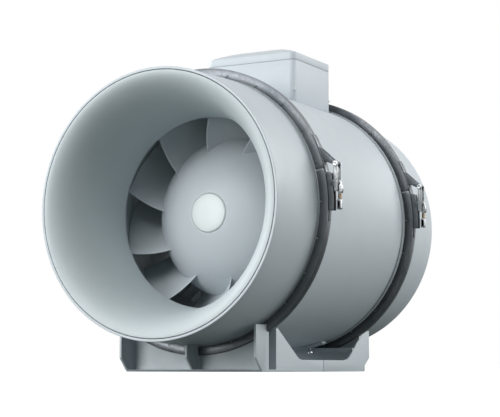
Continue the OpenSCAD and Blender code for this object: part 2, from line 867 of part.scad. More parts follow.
// Link: two side plates that hang from the catch pin, and the crossbar that the lever hooks.
module link(joint) {
    color("silver") {
        for (y = [-link_out, link_in]) cross_plate(joint + y, joint + y + ear_t) difference() {
            union() {
                polygon([
                    catch_p + [1.8, 0], catch_p + [-1.8, 0], bar_p + [-2.2, 0], bar_p + [2.2, 0]
                ]);
                translate(catch_p) circle(r = pin_r + 1.2, $fn = 48);
                translate(bar_p) circle(r = 2.2, $fn = 48);
            }
            translate(catch_p) circle(r = pin_r + running, $fn = 48);
        }
        cross_plate(joint - link_out, joint + link_out) translate(bar_p) circle(r = bar_r, $fn = 48);
    }
}

// Lever: a hooked body on the pivot, a round stem and a finger loop.
module lever(joint) {
    color("silver") {
        cross_plate(joint - latch_half, joint + latch_half) translate(pivot_p) difference() {
            union() {
                circle(r = boss_lever_r, $fn = 48);
                polygon([
                    [boss_lever_r, 0], [4.4, -3], [5.2, -6], [5, -9], [3.4, hook_end], [-0.6, hook_end],
                    [-0.2, -8], [-3.3, -7.3], [-boss_lever_r, 0]
                ]);
            }
            circle(r = pin_r + running, $fn = 48);
            translate(bar_p - pivot_p) circle(r = bar_r + bar_room, $fn = 48);
            // Way in which the crossbar leaves the hook.
            translate(bar_p - pivot_p + [-slot_back, -hook_way])
                square([slot_back + bar_r + bar_room, hook_way]);
        }
        translate([pivot_p[0] + stem_x, joint, axis_h + pivot_p[1] + loop_top - 0.6])
            cylinder(r = stem_r, h = stem_l + 1.2, $fn = 32);
        cross_plate(joint - latch_half, joint + latch_half) translate(pivot_p + [1, 0]) difference() {
            polygon([
                [2, loop_top], [loop_w, loop_top - 1.2], [loop_w, handle_tip + 2], [1.4, handle_tip],
                [-1.6, handle_tip], [-loop_w, handle_tip + 2], [-loop_w, loop_top - 1.2], [-2, loop_top]
            ]);
            translate([-loop_w + loop_bar, handle_tip + 2.2])
                square([2 * (loop_w - loop_bar), loop_top - handle_tip - 4.2]);
        }
    }
}

module handle_spring(joint) {
    l = stem_l - 2 * seat;
    place = [pivot_p[0] + stem_x, joint, axis_h + pivot_p[1] + loop_top + seat];
    color("peru") translate(place) difference() {
        cylinder(r = stem_r + 1, h = l, $fn = 48);
        translate([0, 0, -over]) cylinder(r = stem_r + 2 * seat, h = l + 2 * over, $fn = 48);
    }
}

module front_band() {
    clamp_band(joint_front);
}

module front_catch() {
    catch_bracket(joint_front);
}

module front_catch_pin() {
    catch_pin(joint_front);
}

module front_latch_channel() {
    latch_channel(joint_front);
}

module front_lever_pin() {
    lever_pin(joint_front);
}

module front_link() {
    link(joint_front);
}

module front_lever() {
    lever(joint_front);
}

module front_handle_spring() {
    handle_spring(joint_front);
}

module rear_band() {
    clamp_band(joint_back);
}

module rear_catch() {
    catch_bracket(joint_back);
}

module rear_catch_pin() {
    catch_pin(joint_back);
}

module rear_latch_channel() {
    latch_channel(joint_back);
}

module rear_lever_pin() {
    lever_pin(joint_back);
}

module rear_link() {
    link(joint_back);
}

module rear_lever() {
    lever(joint_back);
}

module rear_handle_spring() {
    handle_spring(joint_back);
}

// ---------- stand ----------

// Upright ribs that stand in front of a stand's end wall, cut to the casing.
module end_ribs(y_out, y_in, chamfer_l, chamfer_h, places) {
    top = side_top_z + 3;
    for (x = places) side_plate(x - stand_wall / 2, x + stand_wall / 2) polygon([
        [y_in, 0], [y_out + chamfer_l, 0], [y_out, chamfer_h], [y_out, top], [y_in, top]
    ]);
}

// Space that the casing, its joints and the clamp bands take up above the stand.
module casing_room() {
    on_axis() {
        translate([0, 0, -stand_l]) cylinder(r = neck_r + 0.4, h = 2 * stand_l, $fn = 144);
        translate([0, 0, joint_front]) cylinder(r = saddle_r, h = joint_span, $fn = 144);
        for (joint = [joint_front, joint_back])
            translate([0, 0, joint - band_w / 2 - 0.5])
                cylinder(r = band_r + 0.4, h = band_w + 1, $fn = 144);
    }
}

// An upright wall across the stand.
module cross_wall(y0, top) {
    translate([-side_x, y0, 0]) cube([2 * side_x, stand_wall, top]);
}

// Pads under the casing that take its screws.
module saddle_pads(y0, y1) {
    for (a = [screw_a, 360 - screw_a])
        arc_plate(saddle_r + stand_wall, saddle_r, y0, y1, a - pad_a / 2, a + pad_a / 2);
}

// Fixing holes through the floor.
module fixing_holes() {
    for (x = [-1, 1], y = [-1, 1]) translate([x * hole_span_x / 2, stand_mid + y * hole_span_y / 2, -over])
        cylinder(r = hole_d / 2, h = floor_t + 2 * over, $fn = 48);
}

// Places of the screws between the pads and the casing, with +Z pointing outwards.
module stand_screw_places() {
    half = stand_mid - side_y0 - stand_wall - 6;
    for (y = [stand_mid - half, stand_mid + half], a = [screw_a, 360 - screw_a])
        at_angle(a) translate([saddle_r + stand_wall, 0, y]) rotate([0, 90, 0]) children();
}

module stand_front() {
    sill = [[side_y0, 0], [side_y0, side_top_z - 1.5], [side_y0 + 4, side_top_z],
        [side_y0 + slope_l + 4, sill_z + 6], [side_y0 + slope_l + 11, sill_z + 1.6], [sill_y0, sill_z],
        [seam_y - seat, sill_z], [seam_y - seat, 0]];
    color("silver") difference() {
        union() {
            translate([-side_x, stand_y0 + chamfer_y, 0])
                cube([2 * side_x, seam_y - seat - stand_y0 - chamfer_y, floor_t]);
            cross_wall(wall_y, side_top_z + 3);
            end_ribs(stand_y0, wall_y + 1, chamfer_y, chamfer_z, [-rib_x, 0, rib_x]);
            cross_wall(side_y0, side_top_z - 1.5);
            for (x = [-side_x, side_x - stand_wall]) side_plate(x, x + stand_wall) polygon(sill);
            for (x = [-1, 1]) translate([x * brace_x - stand_wall / 2, wall_y + 1, 0])
                cube([stand_wall, recess_l + stand_wall, sill_z]);
            saddle_pads(side_y0, side_y0 + pad_l);
        }
        casing_room();
        fixing_holes();
        stand_screw_places()
            cylinder(r = stand_screw_r + 0.4, h = stand_screw_way, center = true, $fn = 32);
    }
}

module stand_rear() {
    wall = 2 * stand_mid - side_y0 - stand_wall;
    y_low = stand_y1 - rear_foot_l;
    sill = [
        [seam_y + seat, 0], [seam_y + seat, sill_z], [rear_slope_y - 18, sill_z],
        [rear_slope_y - 8, sill_z + 2], [rear_slope_y, sill_z + 7],
        [rear_top_y, side_top_z + 2], [stand_y1, side_top_z + 2],
        [stand_y1, chamfer_z + 1.5], [y_low, floor_t + 5], [y_low, 0]];
    color("silver") difference() {
        union() {
            translate([-side_x, seam_y + seat, 0]) cube([2 * side_x, y_low - seam_y - seat, floor_t]);
            cross_wall(rear_wall_y - stand_wall, side_top_z);
            end_ribs(stand_y1, rear_wall_y - 1, -rear_foot_l, chamfer_z, [0]);
            cross_wall(wall, saddle_wall_h);
            for (x = [-side_x, side_x - stand_wall]) side_plate(x, x + stand_wall) polygon(sill);
            saddle_pads(wall + stand_wall - pad_l, wall + stand_wall);
        }
        casing_room();
        fixing_holes();
        stand_screw_places()
            cylinder(r = stand_screw_r + 0.4, h = stand_screw_way, center = true, $fn = 32);
    }
}

module stand_screws() {
    color("lightgray") stand_screw_places() translate([0, 0, seat])
        screw(3.4, 2.2, stand_screw_r, stand_wall + shell_wall + 0.3);
}

// ---------- terminal box ----------

// Places of the corner posts of the box.
module post_places() {
    for (x = [-1, 1], y = [-1, 1])
        translate([x * (box_w / 2 - post_inset), box_mid[1] + y * (box_l / 2 - post_inset), axis_h])
            children();
}

// Places of the screws that hold the box on the casing.
module box_screw_places() {
    for (x = [-1, 1], y = [-1, 1])
        translate([x * box_screw_x, box_mid[1] + y * (box_l / 2 - box_screw_inset), axis_h + box_floor])
            children();
}

module casing_screw_holes() {
    box_screw_places() translate([0, 0, -box_screw_l])
        cylinder(r = box_screw_r + seat, h = box_screw_l, $fn = 32);
}

module terminal_box() {
    low = casing_r - 20;
    color("gainsboro") difference() {
        union() {
            translate([0, box_mid[1], axis_h + low]) difference() {
                linear_extrude(box_seam - low) round_rect(box_w, box_l, box_corner);
                translate([0, 0, -over]) linear_extrude(box_seam - low + 2 * over)
                    round_rect(box_w - 2 * box_wall, box_l - 2 * box_wall, box_corner - box_wall);
            }
            translate([0, box_mid[1], axis_h + box_floor]) linear_extrude(plate_z)
                round_rect(box_w - box_wall, box_l - box_wall, box_corner - box_wall / 2);
            post_places() translate([0, 0, box_floor])
                cylinder(r = post_r, h = box_seam - box_floor, $fn = 48);
            box_screw_places() translate([0, 0, -10]) cylinder(r = 4.5, h = 11, $fn = 48);
        }
        on_axis() cylinder(r = casing_r + seat, h = 300, center = true, $fn = 144);
        post_places() translate([0, 0, box_seam - 18]) cylinder(r = 1.5, h = 20, $fn = 32);
        box_screw_places() translate([0, 0, -box_screw_l])
            cylinder(r = box_screw_r + 0.4, h = box_screw_l + plate_z + over, $fn = 32);
        lead_way(casing_r, lead_r + 1.2, box_floor + plate_z + over);
        gland_place() translate([0, 0, -box_wall - over])
            cylinder(r = gland_shank_r + 0.2, h = box_wall + 2 * over, $fn = 64);
    }
}

module box_screws() {
    color("lightgray") box_screw_places() translate([0, 0, plate_z + seat])
        screw(3.6, 2.2, box_screw_r, box_screw_l - 1);
}

module lid_gasket() {
    color("dimgray") translate([0, box_mid[1], axis_h + box_seam]) difference() {
        linear_extrude(gasket_t) round_rect(box_w - lid_in, box_l - lid_in, box_corner - lid_in / 2);
        translate([0, 0, -over]) linear_extrude(gasket_t + 2 * over)
            round_rect(box_w - 2 * box_wall, box_l - 2 * box_wall, box_corner - box_wall);
    }
}

// Rounded block that steps in towards its top, the outside or the hollow of the lid.
module pillow(inset, h0, rise) {
    w = box_w - 2 * inset;
    l = box_l - 2 * inset;
    hull() {
        linear_extrude(h0) round_rect(w, l, box_corner - inset);
        for (s = [0.3, 0.6, 0.85, 1]) {
            part = sqrt(1 - s * 0.86);
            linear_extrude(h0 + rise * s) round_rect(w * part, l * part, 5);
        }
    }
}

module box_lid() {
    z0 = axis_h + box_seam + gasket_t;
    color("gainsboro") difference() {
        union() {
            translate([0, box_mid[1], z0]) difference() {
                pillow(0, lid_skirt, lid_rise);
                translate([0, 0, -over]) pillow(box_wall, lid_skirt - 1, lid_rise - 1);
            }
            intersection() {
                post_places() translate([0, 0, box_seam + gasket_t]) cylinder(r = post_r, h = 18, $fn = 48);
                translate([0, box_mid[1], z0]) pillow(1, lid_skirt, lid_rise - 1.4);
            }
        }
        post_places() translate([0, 0, box_seam]) cylinder(r = 2, h = lid_skirt + lid_rise, $fn = 32);
        post_places() translate([0, 0, box_seam + gasket_t + lid_seat])
            cylinder(r = 4, h = lid_skirt + lid_rise, $fn = 48);
    }
}

module lid_screws() {
    color("lightgray") post_places() translate([0, 0, box_seam + gasket_t + lid_seat + seat])
        screw(3.6, 2.4, 1.4, 18);
}

// Place of the terminal block's corner on the plate of the box.
module block_place() {
    translate([-block_w / 2, box_y + box_l - block_l - 16, axis_h + box_floor + plate_z + seat]) children();
}

module terminal_block() {
    color("whitesmoke") block_place() difference() {
        cube([block_w, block_l, block_h]);
        for (x = [way_step / 2:way_step:block_w]) {
            translate([x, -over, 6]) rotate([-90, 0, 0])
                cylinder(r = 2.4, h = block_l + 2 * over, $fn = 32);
            for (y = [block_l / 4, block_l * 3 / 4])
                translate([x, y, 7]) cylinder(r = 2.2, h = block_h, $fn = 32);
        }
    }
}

module terminal_screws() {
    color("gold") block_place()
        for (x = [way_step / 2:way_step:block_w], y = [block_l / 4, block_l * 3 / 4])
            translate([x, y, 9]) cylinder(r = 2.1, h = 4, $fn = 32);
}

module capacitor() {
    r = capacitor_r;
    color("lightsteelblue")
        translate([-capacitor_l / 2, box_y + r + 10, axis_h + box_floor + plate_z + seat + r])
            rotate([0, 90, 0]) {
                cylinder(r = r, h = capacitor_l);
                translate([0, 0, capacitor_l]) cylinder(r = r - 3, h = 4);
            }
}

// Place of the cable gland in the box's left wall, with +Z pointing outwards.
module gland_place() {
    translate([-box_w / 2, gland_y, axis_h + gland_z]) rotate([0, -90, 0]) children();
}

module gland_body() {
    color("dimgray") gland_place() difference() {
        union() {
            translate([0, 0, -box_wall - gland_shank_l])
                cylinder(r = gland_shank_r, h = box_wall + gland_shank_l + over, $fn = 64);
            translate([0, 0, seat]) cylinder(r = gland_r + 1.2, h = 5, $fn = 6);
            cylinder(r = 8.4, h = gland_l, $fn = 64);
        }
        translate([0, 0, -box_wall - gland_shank_l - over])
            cylinder(r = 5.6, h = box_wall + gland_shank_l + gland_l, $fn = 64);
        translate([0, 0, 4]) cylinder(r = 6.8, h = gland_l, $fn = 64);
    }
}

module gland_locknut() {
    color("dimgray") gland_place() translate([0, 0, -box_wall - seat - 4]) difference() {
        cylinder(r = gland_nut_r, h = 4, $fn = 6);
        translate([0, 0, -over]) cylinder(r = gland_shank_r + running, h = 4 + 2 * over, $fn = 64);
    }
}

module gland_seal() {
    color("black") gland_place() translate([0, 0, 4 + seat]) difference() {
        cylinder(r = 6.7, h = 10, $fn = 64);
        translate([0, 0, -over]) cylinder(r = gland_bore / 2, h = 10 + 2 * over, $fn = 64);
    }
}

module gland_cap() {
    color("dimgray") gland_place() translate([0, 0, 5 + 2 * seat]) difference() {
        union() {
            cylinder(r = gland_nut_r, h = 7, $fn = 6);
            cylinder(r = gland_r - 0.6, h = 11, $fn = 64);
        }
        translate([0, 0, -over]) cylinder(r = 8.5, h = over + 9.2, $fn = 64);
        translate([0, 0, 5]) cylinder(r = gland_bore / 2 + 0.4, h = 10, $fn = 64);
    }
}

inlet_spigot();
inlet_bell();
inlet_seal();
centre_casing();
bulkhead();
shroud();
outlet_seal();
outlet_spigot();
motor_cup();
guide_vanes();
vane_ring();
tail_cone();
tail_screws();
motor_housing();
motor_end_cap();
motor_screws();
motor_core();
motor_windings();
front_bearing();
rear_bearing();
motor_lead();
motor_shaft();
motor_rotor();
impeller_hub();
impeller_blades();
impeller_washer();
impeller_nut();
nose_cap();
front_band();
front_catch();
front_latch_channel();
front_catch_pin();
front_link();
front_lever();
front_lever_pin();
front_handle_spring();
rear_band();
rear_catch();
rear_latch_channel();
rear_catch_pin();
rear_link();
rear_lever();
rear_lever_pin();
rear_handle_spring();
stand_front();
stand_rear();
stand_screws();
terminal_box();
box_screws();
lid_gasket();
box_lid();
lid_screws();
terminal_block();
terminal_screws();
capacitor();
gland_body();
gland_locknut();
gland_seal();
gland_cap();
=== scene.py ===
# %% [markdown]
# # Inline duct fan
# The fan is a light grey moulded casing between two clamped spigots, with a bell and a domed impeller
# in front, guide vanes and a tail cone behind, a terminal box on top and a stand below.
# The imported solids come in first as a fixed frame. Each visible piece is then modelled over its solid,
# with rounded edges and fine parts that the solids leave out, and gets a finish made of nodes.
# %% Load the fixed frame
import json
import math

import bpy
from mathutils import Matrix, Vector


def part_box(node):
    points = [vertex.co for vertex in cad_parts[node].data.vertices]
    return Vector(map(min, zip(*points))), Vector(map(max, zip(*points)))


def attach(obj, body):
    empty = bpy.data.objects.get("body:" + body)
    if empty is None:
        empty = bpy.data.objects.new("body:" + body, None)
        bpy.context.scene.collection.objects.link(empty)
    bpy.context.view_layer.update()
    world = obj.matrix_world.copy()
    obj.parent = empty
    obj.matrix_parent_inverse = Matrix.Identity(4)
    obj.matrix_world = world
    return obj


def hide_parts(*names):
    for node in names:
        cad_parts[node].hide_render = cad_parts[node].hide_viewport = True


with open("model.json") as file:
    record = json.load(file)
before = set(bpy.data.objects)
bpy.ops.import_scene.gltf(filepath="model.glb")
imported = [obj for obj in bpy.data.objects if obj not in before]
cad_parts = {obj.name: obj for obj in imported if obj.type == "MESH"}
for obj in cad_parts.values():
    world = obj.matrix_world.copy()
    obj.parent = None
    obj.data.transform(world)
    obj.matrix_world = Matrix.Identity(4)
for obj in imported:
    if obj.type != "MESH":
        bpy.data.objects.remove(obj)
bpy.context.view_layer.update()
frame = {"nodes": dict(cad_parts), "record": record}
scene = bpy.context.scene
MM = 0.001
print("solids:", len(frame["nodes"]))

# %% [markdown]
# Places come from the solids: the fan's axis, the two rims, and the two joints that the clamp bands hold.
# A piece that takes its place from here stays on its solid when a size changes.
# %% Places taken from the frame


def middle(node):
    low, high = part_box(node)
    return (low + high) / 2


def half_width(node):
    low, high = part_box(node)
    return (high.x - low.x) / 2


AXIS_Z = middle("inlet_spigot").z
FRONT_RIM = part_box("inlet_spigot")[0].y
BACK_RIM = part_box("outlet_spigot")[1].y
FRONT_JOINT = middle("front_band").y
BACK_JOINT = middle("rear_band").y
SEAM_R = half_width("inlet_bell") + 0.1 * MM
SPIGOT_R = SEAM_R + 3.5 * MM
FLANGE_R = half_width("centre_casing")
CASING_R = half_width("shroud") + 2.7 * MM
NECK_R = CASING_R - 1.2 * MM
BAND_R = FLANGE_R + 1.4 * MM
WALL = 2.6 * MM
print("axis", round(AXIS_Z, 4), "spigot", round(SPIGOT_R, 4), "casing", round(CASING_R, 4))

# %% [markdown]
# The camera stands low in front of the fan and looks slightly up at it, so that the bell, the right side
# with its two latches and the stand all show. A long lens keeps the rims' ellipses calm.
# %% Camera
VIEW_AZIMUTH = math.radians(28.553)
VIEW_ELEVATION = math.radians(-5.629)
VIEW_DISTANCE = 1.886841
VIEW_TARGET = Vector((0, 0, 0.188153))
LENS_MM = 108.96
SHIFT_X = 0.0014
SHIFT_Y = 0.0229

camera = bpy.data.objects.new("camera", bpy.data.cameras.new("camera"))
scene.collection.objects.link(camera)
scene.camera = camera
towards_camera = Vector((
    math.sin(VIEW_AZIMUTH) * math.cos(VIEW_ELEVATION),
    -math.cos(VIEW_AZIMUTH) * math.cos(VIEW_ELEVATION),
    math.sin(VIEW_ELEVATION),
))
camera.location = VIEW_TARGET + towards_camera * VIEW_DISTANCE
camera.rotation_mode = "QUATERNION"
camera.rotation_quaternion = (-towards_camera).to_track_quat("-Z", "Y")
camera.data.sensor_width = 36
camera.data.lens = LENS_MM
camera.data.shift_x = SHIFT_X
camera.data.shift_y = SHIFT_Y
camera.data.clip_start = 0.01
camera.data.clip_end = 50
scene.view_settings.view_transform = "Standard"
print("camera", [round(value, 3) for value in camera.location])

# %% [markdown]
# ## Finishes
# Three effects appear on many finishes, so each is a node group that is built once. Moulded grain gives
# the faint mottle, the fine spark-eroded texture and the uneven gloss of a moulded part. Edge wear finds
# the edges of a part and mixes the lighter, rubbed colour in there. Rolled metal gives the fine grain and
# the faint stains of metal.
# %% A node group with named sockets


def new_group(name, inputs, outputs):
    group = bpy.data.node_groups.new(name, "ShaderNodeTree")
    for label, kind, value in inputs:
        socket = group.interface.new_socket(label, in_out="INPUT", socket_type=kind)
        socket.default_value = value
    for label, kind in outputs:
        group.interface.new_socket(label, in_out="OUTPUT", socket_type=kind)
    return group, group.nodes.new("NodeGroupInput"), group.nodes.new("NodeGroupOutput")


def add_node(tree, kind, **settings):
    node = tree.nodes.new(kind)
    for name, value in settings.items():
        setattr(node, name, value)
    return node


def feed(tree, value, socket):
    """Links a socket to another one, or gives it a fixed value."""
    if isinstance(value, bpy.types.NodeSocket):
        tree.links.new(value, socket)
    else:
        socket.default_value = value


def noise(tree, coordinates, scale, detail):
    node = add_node(tree, "ShaderNodeTexNoise")
    feed(tree, scale, node.inputs["Scale"])
    node.inputs["Detail"].default_value = detail
    tree.links.new(coordinates, node.inputs["Vector"])
    return node.outputs["Fac"]


def spread(tree, value, low, high):
    """Stretches the middle of a noise over the range from low to high."""
    node = add_node(tree, "ShaderNodeMapRange")
    node.inputs["From Min"].default_value = 0.3
    node.inputs["From Max"].default_value = 0.7
    node.inputs["To Min"].default_value = low
    node.inputs["To Max"].default_value = high
    tree.links.new(value, node.inputs["Value"])
    return node.outputs["Result"]


def maths(tree, operation, first, second):
    node = add_node(tree, "ShaderNodeMath", operation=operation)
    feed(tree, first, node.inputs[0])
    feed(tree, second, node.inputs[1])
    return node.outputs[0]


def blend_colours(tree, share, first, second, mode="MIX"):
    node = add_node(tree, "ShaderNodeMix", data_type="RGBA", blend_type=mode)
    feed(tree, share, node.inputs[0])
    feed(tree, first, node.inputs[6])
    feed(tree, second, node.inputs[7])
    return node.outputs[2]


# %% Moulded grain
COLOUR = "NodeSocketColor"
NUMBER = "NodeSocketFloat"
grain_group, grain_in, grain_out = new_group(
    "moulded_grain",
    [("Colour", COLOUR, (0.6, 0.6, 0.6, 1)), ("Gloss", NUMBER, 0.5), ("Mottle", NUMBER, 0.04)],
    [("Colour", COLOUR), ("Roughness", NUMBER), ("Height", NUMBER)],
)
CLOUD_SCALE = 9
SPECK_SCALE = 2400
RUB_SCALE = 60
SHADE = (0.5, 0.52, 0.54, 1)
place = add_node(grain_group, "ShaderNodeTexCoord").outputs["Object"]
cloud = noise(grain_group, place, CLOUD_SCALE, 3)
speck = noise(grain_group, place, SPECK_SCALE, 2)
rub = noise(grain_group, place, RUB_SCALE, 4)
darker = blend_colours(grain_group, 1, grain_in.outputs["Colour"], SHADE, "MULTIPLY")
share = maths(grain_group, "MULTIPLY", spread(grain_group, cloud, 0, 1), grain_in.outputs["Mottle"])
mottled = blend_colours(grain_group, share, grain_in.outputs["Colour"], darker)
gloss = maths(grain_group, "ADD", grain_in.outputs["Gloss"], spread(grain_group, rub, -0.05, 0.05))
grain_group.links.new(mottled, grain_out.inputs["Colour"])
grain_group.links.new(gloss, grain_out.inputs["Roughness"])
grain_group.links.new(speck, grain_out.inputs["Height"])
print("group", grain_group.name, len(grain_group.nodes), "nodes")

# %% Edge wear
wear_group, wear_in, wear_out = new_group(
    "edge_wear",
    [("Colour", COLOUR, (0.5, 0.5, 0.5, 1)), ("Rubbed", COLOUR, (0.8, 0.8, 0.8, 1)), ("Amount", NUMBER, 0.3)],
    [("Colour", COLOUR)],
)
WEAR_STARTS, WEAR_FULL = 0.52, 0.62
BREAK_SCALE = 180
edge = add_node(wear_group, "ShaderNodeMapRange")
edge.inputs["From Min"].default_value = WEAR_STARTS
edge.inputs["From Max"].default_value = WEAR_FULL
pointed = add_node(wear_group, "ShaderNodeNewGeometry").outputs["Pointiness"]
wear_group.links.new(pointed, edge.inputs["Value"])
place = add_node(wear_group, "ShaderNodeTexCoord").outputs["Object"]
broken = spread(wear_group, noise(wear_group, place, BREAK_SCALE, 4), 0.3, 1)
worn = maths(wear_group, "MULTIPLY", edge.outputs["Result"], broken)
amount = maths(wear_group, "MULTIPLY", worn, wear_in.outputs["Amount"])
rubbed_colour = blend_colours(wear_group, amount, wear_in.outputs["Colour"], wear_in.outputs["Rubbed"])
wear_group.links.new(rubbed_colour, wear_out.inputs["Colour"])
print("group", wear_group.name, len(wear_group.nodes), "nodes")

# %% Rolled metal
metal_group, metal_in, metal_out = new_group(
    "rolled_metal",
    [("Colour", COLOUR, (0.6, 0.6, 0.6, 1)), ("Gloss", NUMBER, 0.35), ("Grain", NUMBER, 300)],
    [("Colour", COLOUR), ("Roughness", NUMBER), ("Height", NUMBER)],
)
STAIN_SCALE = 35
STAIN = (0.3, 0.3, 0.31, 1)
place = add_node(metal_group, "ShaderNodeTexCoord").outputs["Object"]
streak = noise(metal_group, place, metal_in.outputs["Grain"], 3)
stain = spread(metal_group, noise(metal_group, place, STAIN_SCALE, 4), 0, 0.3)
stained = blend_colours(metal_group, stain, metal_in.outputs["Colour"], STAIN)
gloss = maths(metal_group, "ADD", metal_in.outputs["Gloss"], spread(metal_group, streak, -0.08, 0.1))
metal_group.links.new(stained, metal_out.inputs["Colour"])
metal_group.links.new(gloss, metal_out.inputs["Roughness"])
metal_group.links.new(streak, metal_out.inputs["Height"])
print("group", metal_group.name, len(metal_group.nodes), "nodes")

# %% [markdown]
# Each finish is its own material: a Principled shader whose colour, roughness and bump come from the
# groups. The moulded parts share one recipe and differ in colour and gloss. The metals put the rolled
# grain first and the rubbed edges over it.
# %% Moulded and metal finishes


def new_material(name):
    material = bpy.data.materials.new(name)
    material.use_nodes = True
    tree = material.node_tree
    return material, tree, tree.nodes["Principled BSDF"]


def put_group(tree, group, **values):
    node = add_node(tree, "ShaderNodeGroup", node_tree=group)
    for label, value in values.items():
        node.inputs[label].default_value = value
    return node


def put_bump(tree, height, shader, strength, distance):
    bump = add_node(tree, "ShaderNodeBump")
    bump.inputs["Strength"].default_value = strength
    bump.inputs["Distance"].default_value = distance
    tree.links.new(height, bump.inputs["Height"])
    tree.links.new(bump.outputs["Normal"], shader.inputs["Normal"])


def put_wear(tree, base, shader, rubbed_colour, rubbed):
    """Lays the edge wear over the colour of a base group and wires both to the shader."""
    wear = put_group(tree, wear_group, Rubbed=(*rubbed_colour, 1), Amount=rubbed)
    tree.links.new(base.outputs["Colour"], wear.inputs["Colour"])
    tree.links.new(wear.outputs["Colour"], shader.inputs["Base Color"])
    tree.links.new(base.outputs["Roughness"], shader.inputs["Roughness"])


PALER = 1.25
BARE_STEEL = (0.75, 0.75, 0.74)


def moulded(name, colour, gloss, mottle=0.1, grain=0.25, rubbed=0.25):
    material, tree, shader = new_material(name)
    base = put_group(tree, grain_group, Colour=(*colour, 1), Gloss=gloss, Mottle=mottle)
    put_wear(tree, base, shader, tuple(min(1, c * PALER) for c in colour), rubbed)
    put_bump(tree, base.outputs["Height"], shader, grain, 0.05 * MM)
    return material


def metal(name, colour, gloss, grain=300, bump=0.15, metallic=1.0, rubbed=0.4):
    material, tree, shader = new_material(name)
    base = put_group(tree, metal_group, Colour=(*colour, 1), Gloss=gloss, Grain=grain)
    put_wear(tree, base, shader, BARE_STEEL, rubbed)
    shader.inputs["Metallic"].default_value = metallic
    put_bump(tree, base.outputs["Height"], shader, bump, 0.04 * MM)
    return material


FINISH = {
    "shell_plastic": moulded("shell_plastic", (0.495, 0.55, 0.585), 0.46),
    "bell_plastic": moulded("bell_plastic", (0.48, 0.54, 0.56), 0.52),
    "impeller_plastic": moulded("impeller_plastic", (0.51, 0.56, 0.59), 0.46),
    "cap_plastic": moulded("cap_plastic", (0.67, 0.73, 0.725), 0.35, rubbed=0.1),
    "vane_plastic": moulded("vane_plastic", (0.39, 0.43, 0.455), 0.5),
    "stand_plastic": moulded("stand_plastic", (0.47, 0.53, 0.56), 0.44),
    "gland_plastic": moulded("gland_plastic", (0.3, 0.31, 0.32), 0.45),
    "block_plastic": moulded("block_plastic", (0.8, 0.8, 0.76), 0.35),
    "seal_rubber": moulded("seal_rubber", (0.03, 0.03, 0.033), 0.7, grain=0.4, rubbed=0.1),
    "gasket_foam": moulded("gasket_foam", (0.36, 0.39, 0.41), 0.75, grain=0.4, rubbed=0.05),
    "cable_sheath": moulded("cable_sheath", (0.03, 0.03, 0.03), 0.5, rubbed=0.05),
    "band_steel": metal("band_steel", (0.095, 0.108, 0.12), 0.36, bump=0.02, metallic=0.8, rubbed=0.03),
    "latch_steel": metal("latch_steel", (0.4, 0.42, 0.43), 0.34, bump=0.06, metallic=0.9, rubbed=0.3),
    "zinc_steel": metal("zinc_steel", (0.68, 0.69, 0.7), 0.25, grain=500),
    "spring_brass": metal("spring_brass", (0.36, 0.25, 0.12), 0.35, grain=600),
    "motor_paint": metal("motor_paint", (0.1, 0.11, 0.12), 0.45, metallic=0.2, rubbed=0.2),
    "core_steel": metal("core_steel", (0.32, 0.32, 0.33), 0.45, grain=900),
    "winding_copper": metal("winding_copper", (0.55, 0.25, 0.12), 0.35, grain=1500, bump=0.5),
    "capacitor_can": metal("capacitor_can", (0.7, 0.7, 0.71), 0.3, grain=200),
}
print("finishes:", len(FINISH))

# %% [markdown]
# ## How the pieces are made
# Round pieces are turned: an outline is traced with extruded vertices and spun about the fan's axis.
# Flat pieces are an outline that is filled and extruded. Holes are cut with Boolean, edges are rounded
# with Bevel, and every finished piece has its place in its mesh, so its object stays at the origin.
# %% Modelling helpers
SAME_PLACE = 1e-5
TURN_STEPS = 180


def deselect():
    if bpy.context.object and bpy.context.object.mode != "OBJECT":
        bpy.ops.object.mode_set(mode="OBJECT")
    bpy.ops.object.select_all(action="DESELECT")


def activate(piece):
    deselect()
    piece.select_set(True)
    bpy.context.view_layer.objects.active = piece


def edit_all(piece):
    """Opens a piece in edit mode with all of it selected."""
    activate(piece)
    bpy.ops.object.mode_set(mode="EDIT")
    bpy.ops.mesh.select_all(action="SELECT")


def edit_where(piece, kind, parts, wanted):
    """Opens a piece in edit mode with only the wanted ones of its parts selected."""
    activate(piece)
    bpy.ops.object.mode_set(mode="EDIT")
    bpy.ops.mesh.select_mode(type=kind)
    bpy.ops.mesh.select_all(action="DESELECT")
    bpy.ops.object.mode_set(mode="OBJECT")
    for part in parts:
        part.select = wanted(part)
    bpy.ops.object.mode_set(mode="EDIT")


def trace(points):
    """A closed edge through the points, left in edit mode with all of it selected."""
    deselect()
    bpy.ops.mesh.primitive_plane_add(size=MM, location=points[0])
    bpy.ops.object.mode_set(mode="EDIT")
    bpy.ops.mesh.select_all(action="SELECT")
    bpy.ops.mesh.merge(type="CENTER")
    for start, end in zip(points, points[1:] + points[:1]):
        bpy.ops.mesh.extrude_vertices_move(TRANSFORM_OT_translate={"value": end - start})
    bpy.ops.mesh.select_all(action="SELECT")
    bpy.ops.mesh.remove_doubles(threshold=SAME_PLACE)
    return bpy.context.object


def close_mesh():
    bpy.ops.mesh.select_all(action="SELECT")
    bpy.ops.mesh.remove_doubles(threshold=SAME_PLACE)
    bpy.ops.mesh.normals_make_consistent(inside=False)
    bpy.ops.object.mode_set(mode="OBJECT")


def turned(outline):
    """Spins an outline of (radius, y) about the fan's axis."""
    piece = trace([Vector((radius, y, AXIS_Z)) for radius, y in outline])
    bpy.ops.mesh.spin(steps=TURN_STEPS, angle=2 * math.pi, center=(0, 0, AXIS_Z), axis=(0, 1, 0))
    close_mesh()
    return piece


def plate(points, thickness):
    """Fills a closed outline and gives it a thickness along the vector thickness."""
    piece = trace(points)
    bpy.ops.mesh.edge_face_add()
    bpy.ops.mesh.extrude_region_move(TRANSFORM_OT_translate={"value": thickness})
    close_mesh()
    return piece


